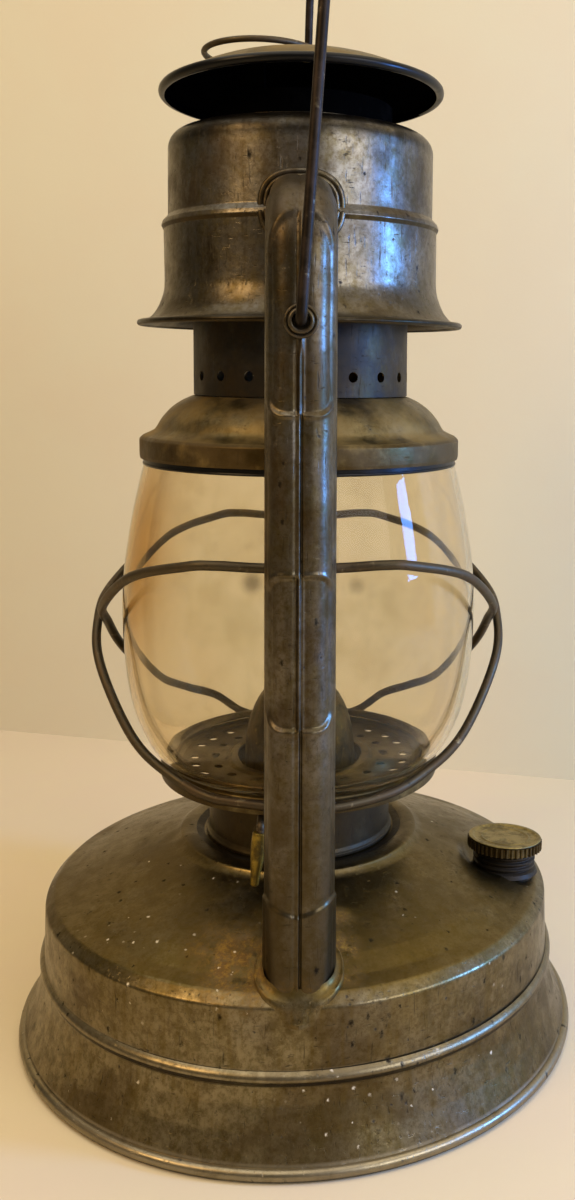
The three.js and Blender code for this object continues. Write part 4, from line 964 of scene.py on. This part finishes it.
stackValues = {
    "bandRadius": 55.8, "bandFoot": 201.05, "bandTop": 208.65, "holderTop": 222.45,
    "chimneyRadius": 37.3, "chimneyFoot": 222.8, "taper": 259.1,
    "neckFoot": 272.1, "neckRadius": 31.2, "neckTop": 321.25,
    "holes": 20, "holeRadius": 1.75, "holeHeight": 229.4, "holeCut": 6,       # length of the cutters
    "capRadius": 47.2, "capRim": 325.45, "capTop": 337.85, "capRoll": 1.6, "capPower": 2.55, "wall": 0.8,
    "capLean": (-1.26, -0.97),       # degrees about X and Y: the cap has been knocked a little
}


def makeStack(values):
    foot, band = values["bandFoot"], values["bandRadius"]
    outer = np.vstack([
        rounded([(band - 0.25, foot), (band - 0.05, foot + 1), (band, foot + 2.2),
                 (band, values["bandTop"] - 1), (band - 1.2, values["bandTop"] + 0.1),
                 (band - 3.4, 209.7), (band - 5.2, 210.7)],
                [0.4, 0.8, 1.0, 1.1, 1.4], 5),
        smoothLine([(49.9, 211.7), (48, 214.8), (45, 218.1), (41.5, 220.6), (38.2, 222.2)], 6),
        [(37.5, values["holderTop"]), (35.9, values["holderTop"])],
    ])
    holder = shellFaces(outer, values["wall"], 192, 0.2, 0.9)
    seat(newPiece("globeHolder", [holder], "holder", inside="dark"), "chimney", "tinplate", "globe_holder")

    wide, narrow = values["chimneyRadius"], values["neckRadius"]
    line = rounded([(wide, values["chimneyFoot"]), (wide, values["taper"]), (narrow, values["neckFoot"]),
                    (narrow, values["neckTop"])], [3, 3])
    shell = shellFaces(line, values["wall"], 144, 0.12, 2.2)
    chimney = newPiece("chimney", [shell], "chimney", inside="dark")
    holes = ringOf("chimneyHoles", "dark", count=values["holes"], circle=values["chimneyRadius"],
                   radius=values["holeRadius"], length=values["holeCut"], height=values["holeHeight"],
                   sides=18, tilt=math.pi / 2, firstTurn=math.pi / values["holes"])
    chimney = cutBy(chimney, holes)
    # the neck under the rain cap is baked black
    finishFaces(chimney.data, "mattSoot", lambda face: face.center.z > (values["neckFoot"] + 8) * mm)
    seat(chimney, "chimney", "dark_tin", "chimney")

    radius = np.linspace(values["capRadius"], 0, 26)
    drop = values["capTop"] - values["capRim"] - values["capRoll"] / 2
    fall = drop * (radius / values["capRadius"]) ** values["capPower"]
    top = np.stack([radius, values["capTop"] - fall], 1)
    cap = shellFaces(top, values["wall"], 192, 0.25, 0.2)
    roll = ringFaces(values["capRadius"], values["capRim"] + 0.05, values["capRoll"], 192)
    middle = Matrix.Translation((0, 0, values["capTop"]))
    tilts = [Matrix.Rotation(math.radians(lean), 4, axis) for lean, axis in zip(values["capLean"], "XY")]
    lay = middle @ tilts[0] @ tilts[1] @ middle.inverted()
    rainCap = newPiece("rainCap", [cap, roll], "capTop", place=lay, inside="mattSoot")
    # the rolled rim is black too, and glossier
    rim = (values["capRadius"] - 0.6) * mm
    finishFaces(rainCap.data, "soot", lambda face: math.hypot(face.center.x, face.center.y) > rim)
    seat(rainCap, "chimney", "soot_tin", "rain_cap")


makeStack(stackValues)
print("canopy, holder, chimney and rain cap made")


# Lift ring on the cap, in its staple

ringValues = {"hinge": (5.5, 339.1), "radius": 19.4, "wire": 1.05}


def makeLiftRing(values):
    x, z = values["hinge"]
    turn = np.arange(96) / 96 * 2 * math.pi
    radius = values["radius"]
    path = np.stack([x - radius + radius * np.cos(turn), radius * np.sin(turn), np.full(96, z)], 1)
    ring = newPiece("liftRing", [sweptFaces(path, values["wire"], closed=True)], "wire")
    seat(ring, "lift_ring", "rusty_wire", "lift_ring")
    bow = [(x - 5.1, 0, z - 0.45), (x - 3, 0, z - 0.45)] + [
        (x - 1.8 * math.cos(t), 0, z + 1.8 * math.sin(t)) for t in np.linspace(0.05, math.pi - 0.05, 13)
    ] + [(x + 3, 0, z - 0.45), (x + 5.1, 0, z - 0.45)]
    strip = np.array([(-1.6, -0.4), (1.6, -0.4), (1.6, 0.4), (-1.6, 0.4)])
    staple = sweptFaces(bow, strip, upright=(0, 1, 0))
    seat(newPiece("ringStaple", [staple], "capTop"), "chimney", "soot_tin", "ring_staple")


makeLiftRing(ringValues)


# Bail: one wire hooked through both ears, leaning and a little twisted

bailValues = {
    "side": 88.6, "leg": 111.85, "wire": 1.65, "hook": 2.5, "hookEnd": 83.5,
    "lean": 2.6, "twist": 1.7,       # degrees
}


def makeBail(values, ears):
    side, leg, hook = values["side"], values["leg"], values["hook"]
    half = [(0, -values["hookEnd"], 0)]
    half += [(0, -(side - hook + hook * math.sin(t)), hook * (1 - math.cos(t)))
             for t in np.linspace(0, math.pi / 2, 9)]
    half += [(0, -side, z) for z in np.linspace(hook, leg, 24)[1:-1]]
    arch = [(0, -side * math.cos(t), leg + side * math.sin(t)) for t in np.linspace(0, math.pi, 73)]
    path = np.array(half + arch + [(0, -y, z) for _, y, z in reversed(half)])
    twist = np.radians(values["twist"]) * path[:, 2] / leg
    path = np.stack([-path[:, 1] * np.sin(twist), path[:, 1] * np.cos(twist), path[:, 2]], 1)
    lay = Matrix.Translation((0, 0, ears["height"])) @ Matrix.Rotation(math.radians(values["lean"]), 4, "Y")
    wire = newPiece("bailWire", [sweptFaces(path, values["wire"], sides=14)], "bail", place=lay)
    seat(wire, "bail", "rusty_wire", "bail")


makeBail(bailValues, earValues)
print("bail and lift ring made")


# Globe with its plate and guard wires, and the ring that seats the holder

globeValues = {
    "outline": [(45.5, 93.4), (46.3, 94.3), (49.6, 96.6), (52.9, 100.2), (56.1, 106.6), (59, 114.6),
                (61.2, 127), (62.2, 142), (62.3, 150), (61.8, 160), (60.7, 169), (58.5, 182), (55.8, 194),
                (53.8, 202), (53.7, 205.1)],
    "wall": 1.9,
}


def makeGlobe(values):
    line = smoothLine(values["outline"], 5)
    glass = newPiece("globeGlass", [shellFaces(line, values["wall"], 160)], "glass", sharp=60)
    seat(glass, "globe_carrier", "clear_glass", "globe")


makeGlobe(globeValues)

plateValues = {
    "rim": 49.5, "height": 93.0, "bore": 22.5, "holes": 24, "holeRadius": 1.7, "holeCircle": 38.0,
    "innerHoles": 18, "innerCircle": 30.5, "holeCut": 6, "wall": 0.7,
}


def makePlate(values):
    rim, height = values["rim"], values["height"]
    outer = rounded([(rim, height - 4), (rim, height + 1.2), (rim - 1.2, height + 2),
                     (rim - 2.4, height + 1.8), (rim - 3.6, height), (44, height - 0.1),
                     (42.4, height - 0.9), (26.5, height - 0.9), (25, height), (values["bore"], height)],
                    [0.9, 0.6, 0.6, 0.6, 0.8, 0.8, 0.8, 0.8], 3)
    plate = newPiece("globePlate", [shellFaces(outer, values["wall"], 144)], "plate")
    for name, count, circle in (("plateHoles", values["holes"], values["holeCircle"]),
                                ("plateInnerHoles", values["innerHoles"], values["innerCircle"])):
        plate = cutBy(plate, ringOf(name, "dark", count=count, circle=circle, radius=values["holeRadius"],
                                    length=values["holeCut"], height=height, sides=14))
    seat(plate, "globe_carrier", "dark_tin", "globe_plate")
    ring = turnedFaces(np.array([(54.65, 198.9), (54.65, 207.3), (54.4, 207.5), (50.3, 207.5),
                                 (50.3, 205.6), (54.05, 205.6), (54.05, 198.9)]), 144)
    curl = ringFaces(54.4, 199.3, 0.55, 144, 10)
    seat(newPiece("globeSeatRing", [ring, curl], "soot", sharp=30), "globe_carrier", "soot_tin",
         "globe_seat_ring")


makePlate(plateValues)

guardValues = {
    "lowRadius": 51.45, "outRadius": 70.6, "low": 91.56, "high": 172.06,
    "lane": 64.2, "wire": 1.6, "crossing": 1.8,
    # degrees round from the tube, and the shares of the way out and up
    "course": [(0, 0, 0), (30, 0.03, 0.02), (50, 0.16, 0.08), (64, 0.5, 0.21), (78, 0.87, 0.47),
               (90, 0.96, 0.625), (105, 1, 0.745), (130, 0.99, 0.925), (150, 0.95, 1), (158, 0.88, 1.01)],
    "rearCourse": [(0, 0, 0), (24, 0.02, 0.01), (37, 0.3, 0.12), (50, 0.42, 0.19), (64, 0.56, 0.28)],
    "behindTube": (168, 180),
}


def makeGuard(values, name, node, side, crossing):
    low = side * math.pi / 2
    half = []
    course = values["course"] if side < 0 else values["rearCourse"] + values["course"][4:]
    for degrees, out, up in course:
        angle = math.radians(degrees)
        radius = values["lowRadius"] + (values["outRadius"] - values["lowRadius"]) * out \
            + crossing * values["crossing"] * math.sin(angle) ** 4
        half.append((angle, radius, values["low"] + (values["high"] - values["low"]) * up))
    behind = [(math.radians(d), values["lane"], values["high"]) for d in values["behindTube"]]
    other = [(-a, r, z) for a, r, z in reversed(half[1:] + behind[:1])]
    points = [(r * math.cos(low + a), r * math.sin(low + a), z) for a, r, z in half + behind + other]
    points = points[-2:] + points + points[:3]
    path = smoothLine(points, 10)[20:-30]
    wire = newPiece(name, [sweptFaces(path, values["wire"], closed=True)], "wire")
    seat(wire, "globe_carrier", "rusty_wire", node)


makeGuard(guardValues, "guardWireFront", "guard_wire_front", -1, 1)
makeGuard(guardValues, "guardWireRear", "guard_wire_rear", 1, -1)
print("globe, plate and guard wires made")


# Air collar, burner and the globe lever

burnerValues = {
    "turn": 53.13, "seat": 58.2, "body": 17.4, "height": 28.5, "coneFoot": 81.7, "coneTop": 122.0,
    "cone": 19.9, "wall": 0.8, "slot": (13, 3.5),       # half the flame slot's length and width
    "holes": 24, "holeCircle": 17, "holeRadius": 1.1, "holeCut": 5, "holeHeight": 7,
    "shaft": (-4.6, 3.45, 76.7), "shaftRadius": 1.1, "shaftInner": 13,
    "knob": (45.5, 5.0),       # how far out it stands, and its thickness
    "ribs": 28, "ribCircle": 7.1, "ribRadius": 0.4,
}


def makeBurner(values):
    foot, radius = values["seat"], values["body"]
    line = rounded([(13.9, foot - 6), (13.9, foot), (radius, foot + 0.2), (radius, foot + 14),
                    (16.6, foot + 15.5), (radius, foot + 17), (radius, foot + values["height"])], 1, 4)
    body = newPiece("burnerBody", [shellFaces(line, values["wall"], 72)], "burner")
    holes = ringOf("burnerHoles", "burner", count=values["holes"], circle=values["holeCircle"],
                   radius=values["holeRadius"], length=values["holeCut"],
                   height=foot + values["holeHeight"], sides=12, tilt=math.pi / 2)
    seat(cutBy(body, holes), "body", "brass", "burner_body")
    coneFoot, coneTop, cone = values["coneFoot"], values["coneTop"], values["cone"]
    line = np.vstack([
        [(18.6, coneFoot), (18.6, coneFoot + 4)],
        smoothLine([(18.9, coneFoot + 5.2), (cone, coneFoot + 9), (19.3, coneFoot + 18),
                    (17.6, coneFoot + 26), (14.3, coneFoot + 33), (9.3, coneFoot + 38),
                    (5, coneTop - 0.7), (0, coneTop)], 5),
    ])
    dome = newPiece("burnerCone", [shellFaces(line, values["wall"], 72)], "burner")
    x, y = values["slot"]
    slot = newPiece("flameSlot", [boxFaces((-x, -y, coneTop - 12), (x, y, coneTop + 4))], "burner",
                    place=Matrix.Rotation(math.radians(values["turn"]), 4, "Z"))
    seat(cutBy(dome, slot), "body", "brass", "burner_cone")

    along = Vector((math.cos(math.radians(values["turn"])), math.sin(math.radians(values["turn"])), 0))
    start = Vector(values["shaft"])
    out, thick = values["knob"]
    shaft = sweptFaces([tuple(start - along * values["shaftInner"]), tuple(start + along * (out + thick))],
                       values["shaftRadius"], sides=20)
    seat(newPiece("wickShaft", [shaft], "burner"), "wick_raiser", "brass", "wick_shaft")
    edge = rounded([(6.6, 0), (7.1, 0.3), (7.2, thick - 0.8), (6.4, thick)], 0.4)
    hollow = [(5.2, thick), (4.8, thick - 0.6), (1.5, thick - 0.6)]
    face = turnedFaces(np.vstack([[(1.5, 0)], edge, hollow]), 60)
    lay, layFinished = laidAlong(start + along * out, along)
    knob = newPiece("wickKnob", [face], "brass", place=lay)
    ribs = ringOf("knobRibs", "brass", count=values["ribs"], circle=values["ribCircle"],
                  radius=values["ribRadius"], length=thick - 1, height=thick / 2, sides=8,
                  place=layFinished)
    seat(knob, "wick_raiser", "brass", "wick_knob")
    seat(ribs, "wick_raiser", "brass")


makeBurner(burnerValues)

collarValues = {"radius": 32.5, "foot": 66.85, "top": 91.85, "flange": 33.5, "wall": 0.8}


def makeAirCollar(values):
    foot, top, radius = values["foot"], values["top"], values["radius"]
    line = rounded([(values["flange"], foot), (values["flange"], foot + 0.8), (radius + 0.5, foot + 1.3),
                    (radius, foot + 2.4), (radius, top - 4.5), (radius + 0.5, top - 3.6),
                    (radius, top - 2.7), (radius, top)], [0.3, 0.6, 1, 0.5, 0.4, 0.5], 3)
    collar = newPiece("airCollar", [shellFaces(line, values["wall"], 120)], "dark")
    seat(collar, "body", "dark_tin", "air_collar")


makeAirCollar(collarValues)

leverValues = {
    "shaft": (-12.3, 87.0), "wire": 1.4, "out": 51.3, "drop": 20.0, "lean": 6.0,
    "crank": (18, 25.5),       # its reach, and how far out it runs
    # the finger piece: how far down, and half its width and thickness there
    "finger": [(2.2, 1.9, 1.7), (2.6, 2.3, 2.0), (4.5, 2.45, 2.1), (8, 2.45, 2.1), (12, 2.1, 1.9),
               (15.5, 1.65, 1.5), (18.4, 1.45, 1.2)],
}


def makeLever(values):
    x, z = values["shaft"]
    reach, inner = values["crank"]
    shaft = Matrix.Translation((x, 0, z))
    lean = shaft @ Matrix.Rotation(math.radians(values["lean"]), 4, "Y") @ Matrix.Translation((-x, 0, -z))
    out = values["out"]
    path = rounded([(x, -out + 3, z), (x, -inner, z), (x + reach, -inner, z)], 1.6, 6)
    hook = rounded([(x, -out + 3.2, z), (x, -out, z), (x, -out, z - 9)], 2.4, 8)
    crank = newPiece("leverCrank", [sweptFaces(path, values["wire"], sides=14),
                                    sweptFaces(hook, values["wire"], sides=14)], "wire")
    seat(crank, "lever", "rusty_wire", "lever_crank")
    # a sheet-brass sleeve pinched round the wire, thumb-worn and narrower at its foot
    rows = values["finger"] + [(values["drop"] - 0.4, 1.35, 1.1), (values["drop"], 1.0, 0.8)]
    turn = np.arange(28) / 28 * 2 * math.pi
    places = [np.stack([x + half * bowed(np.cos(turn), 0.85), -out + thick * bowed(np.sin(turn), 0.85),
                        np.full(len(turn), z - down)], 1) for down, half, thick in smoothLine(rows, 4)]
    sleeve = (np.vstack(places), rowFaces(len(places), len(turn)))
    seat(newPiece("leverFinger", [sleeve], "brass", sharp=40, place=lean), "lever", "brass", "lever_finger")


makeLever(leverValues)
print("burner, air collar and lever made")


# Filler: threaded neck and knurled cap on their tilted axis

def makeFiller(values):
    lay, layFinished = laidAlong(values["place"], values["axis"])
    neck = values["neck"]
    line = [(neck + 1.6, -1.6), (neck + 1.0, -0.3), (neck - 0.15, 0.4)]
    for height in values["beads"]:       # rolled screw thread
        line += [(neck - 0.2, height - 0.75), (neck + 0.55, height - 0.3), (neck + 0.55, height + 0.3),
                 (neck - 0.2, height + 0.75)]
    line += [(neck - 0.2, values["neckTop"] - 0.5), (neck - 0.2, values["neckTop"])]
    tube = shellFaces(rounded(line, 0.3, 3), values["wall"], 96)
    end = values["neckFoot"]
    lower = turnedFaces(np.array([(neck, end), (neck, 0.2), (neck - 0.9, 0.2), (neck - 0.9, end)]), 96)
    seat(newPiece("fillerNeck", [tube, lower], "chimney", place=lay), "body", "tinplate", "filler_neck")
    radius, foot, top = values["capRadius"], values["capFoot"], values["capTop"]
    side, bore, under = radius - values["ribSize"], values["capBore"], top - values["lid"]
    outline = np.vstack([
        [(bore, foot + 0.1), (side - 0.6, foot + 0.1)],
        rounded([(side - 0.4, foot + 0.1), (side, foot + 0.5), (side, top - 0.7),
                 (radius - 0.25, top - 0.45), (radius - 0.5, top + 0.02), (radius - 1.7, top + 0.02),
                 (radius - 2.6, top - 0.45), (radius - 4.3, top - 0.5), (radius - 4.9, top - 0.2),
                 (radius - 5.7, top - 0.5), (0, top - 0.45)],
                [0.3, 0.3, 0.2, 0.4, 0.5, 0.5, 0.4, 0.4, 0.4], 4),
        [(0, under), (bore, under)],
    ])
    cap = newPiece("fillerCap", [turnedFaces(outline, 120)], "brassy", place=lay, sharp=28)
    # its side and underside, and the knurl ribs, take the darker plate finish: painted shade on the faces
    # that do not look up along its axis
    finishFaces(cap.data, "plate", lambda face: face.normal.dot(Vector(values["axis"])) < 0.5)
    ribs = ringOf("fillerCapKnurl", "plate", count=values["ribs"], circle=side, radius=values["ribSize"],
                  length=top - foot - 1.1, height=(top + foot - 0.3) / 2, sides=8, place=layFinished)
    seat(cap, "filler_cap", "tinplate", "filler_cap")
    seat(ribs, "filler_cap", "tinplate")


makeFiller(fillerValues)
print("filler made")


# CAD nodes that stay as they are, with a finish of their own

keptFinishes = {
    "air_chamber_floor": "dark", "burner_screw_ring": "burner", "filler_gasket": "cork", "lift_lug": "dark",
    "cap_strut_1": "mattSoot", "cap_strut_2": "mattSoot", "cap_strut_3": "mattSoot",
    "wick_tube": "burner", "wick": "cotton", "spur_wheel_1": "burner", "spur_wheel_2": "burner",
}
for node, finish in keptFinishes.items():
    for slot in nodes[node].material_slots:
        slot.link = "OBJECT"
        slot.material = materials[finish]


# Stage: a pale table against a cream wall, as in the photograph

stageValues = {
    "table": ("#d9c9a4", "#d8c3a6"), "wall": ("#dcd3b0", "#dccca9"),       # paint and its mottling
    "tableGrain": 60, "wallGrain": 90, "reach": 1500, "wallTop": 1600,
    "wallFoot": (0, 262), "wallTurn": -17,
}


def plainPaint(name, colours, grain, clearBehind=False):
    colour, shade = colours
    material, tree, where = newMaterial(name)
    mottled = patches(tree, where, grain, 0.35, 0.65, detail=4)
    shader = addNode(tree, "ShaderNodeBsdfPrincipled", inputs={
        "Base Color": layered(tree, colour, [(mottled, shade, 0.35)]), "Roughness": 0.75,
        "Normal": relief(tree, where, 1.5, 3.0, 0.15, 0.2)})
    if clearBehind:      # from behind the wall the lantern shows through it
        side = addNode(tree, "ShaderNodeNewGeometry")
        clear = addNode(tree, "ShaderNodeBsdfTransparent")
        shader = addNode(tree, "ShaderNodeMixShader", inputs={
            0: side.outputs["Backfacing"], 1: shader.outputs[0], 2: clear.outputs[0]})
    addNode(tree, "ShaderNodeOutputMaterial", inputs={"Surface": shader.outputs[0]})
    return material


def makeStage(values):
    def sheet(name, corners, material):
        mesh = bpy.data.meshes.new(name)
        mesh.from_pydata([tuple(v * mm for v in p) for p in corners], [], [[0, 1, 2, 3]])
        mesh.materials.append(material)
        piece = bpy.data.objects.new(name, mesh)
        bpy.context.scene.collection.objects.link(piece)

    reach, top = values["reach"], values["wallTop"]
    turn = math.radians(values["wallTurn"])
    x, y = values["wallFoot"]
    dx, dy = math.cos(turn) * reach, math.sin(turn) * reach
    sheet("table", [(i * reach, j * reach, -0.1) for i, j in ((-1, -1), (1, -1), (1, 1), (-1, 1))],
          plainPaint("pale table paint", values["table"], values["tableGrain"]))
    sheet("wall", [(x - dx, y - dy, -2), (x + dx, y + dy, -2), (x + dx, y + dy, top), (x - dx, y - dy, top)],
          plainPaint("cream wall paint", values["wall"], values["wallGrain"], clearBehind=True))


makeStage(stageValues)

lightValues = {
    "world": ("#d6cab4", 0.24),
    # name: place, aim, width, height, colour, watts
    "lamps": {
        "window": ((770, -225, 300), (0, 0, 230), 120, 240, "#5f9cff", 7.5),
        "side": ((700, -780, 520), (0, 60, 120), 700, 500, "#f4f1f0", 6.0),
        "room": ((-600, -480, 700), (0, 0, 190), 320, 320, "#ffd59a", 3.0),
        "ceiling": ((80, -100, 1150), (0, 20, 100), 1500, 1500, "#fff4e4", 13.0),
    },
}


def addLights(values):
    world = bpy.data.worlds.new("soft room")
    world.use_nodes = True
    background = world.node_tree.nodes["Background"]
    colour, strength = values["world"]
    background.inputs["Color"].default_value = linear(colour)
    background.inputs["Strength"].default_value = strength
    bpy.context.scene.world = world
    for name, (place, aim, wide, high, colour, watts) in values["lamps"].items():
        data = bpy.data.lights.new(name, "AREA")
        data.shape, data.size, data.size_y = "RECTANGLE", wide * mm, high * mm
        data.color = linear(colour)[:3]
        data.energy = watts
        lamp = bpy.data.objects.new(name, data)
        lamp.visible_camera = lamp.visible_transmission = False      # a lamp shows only as a gleam
        lamp.location = [v * mm for v in place]
        lamp.rotation_euler = (Vector(aim) - Vector(place)).to_track_quat("-Z", "Y").to_euler()
        bpy.context.scene.collection.objects.link(lamp)


addLights(lightValues)
bpy.context.scene.view_settings.view_transform = "Standard"
print("stage and lights set")
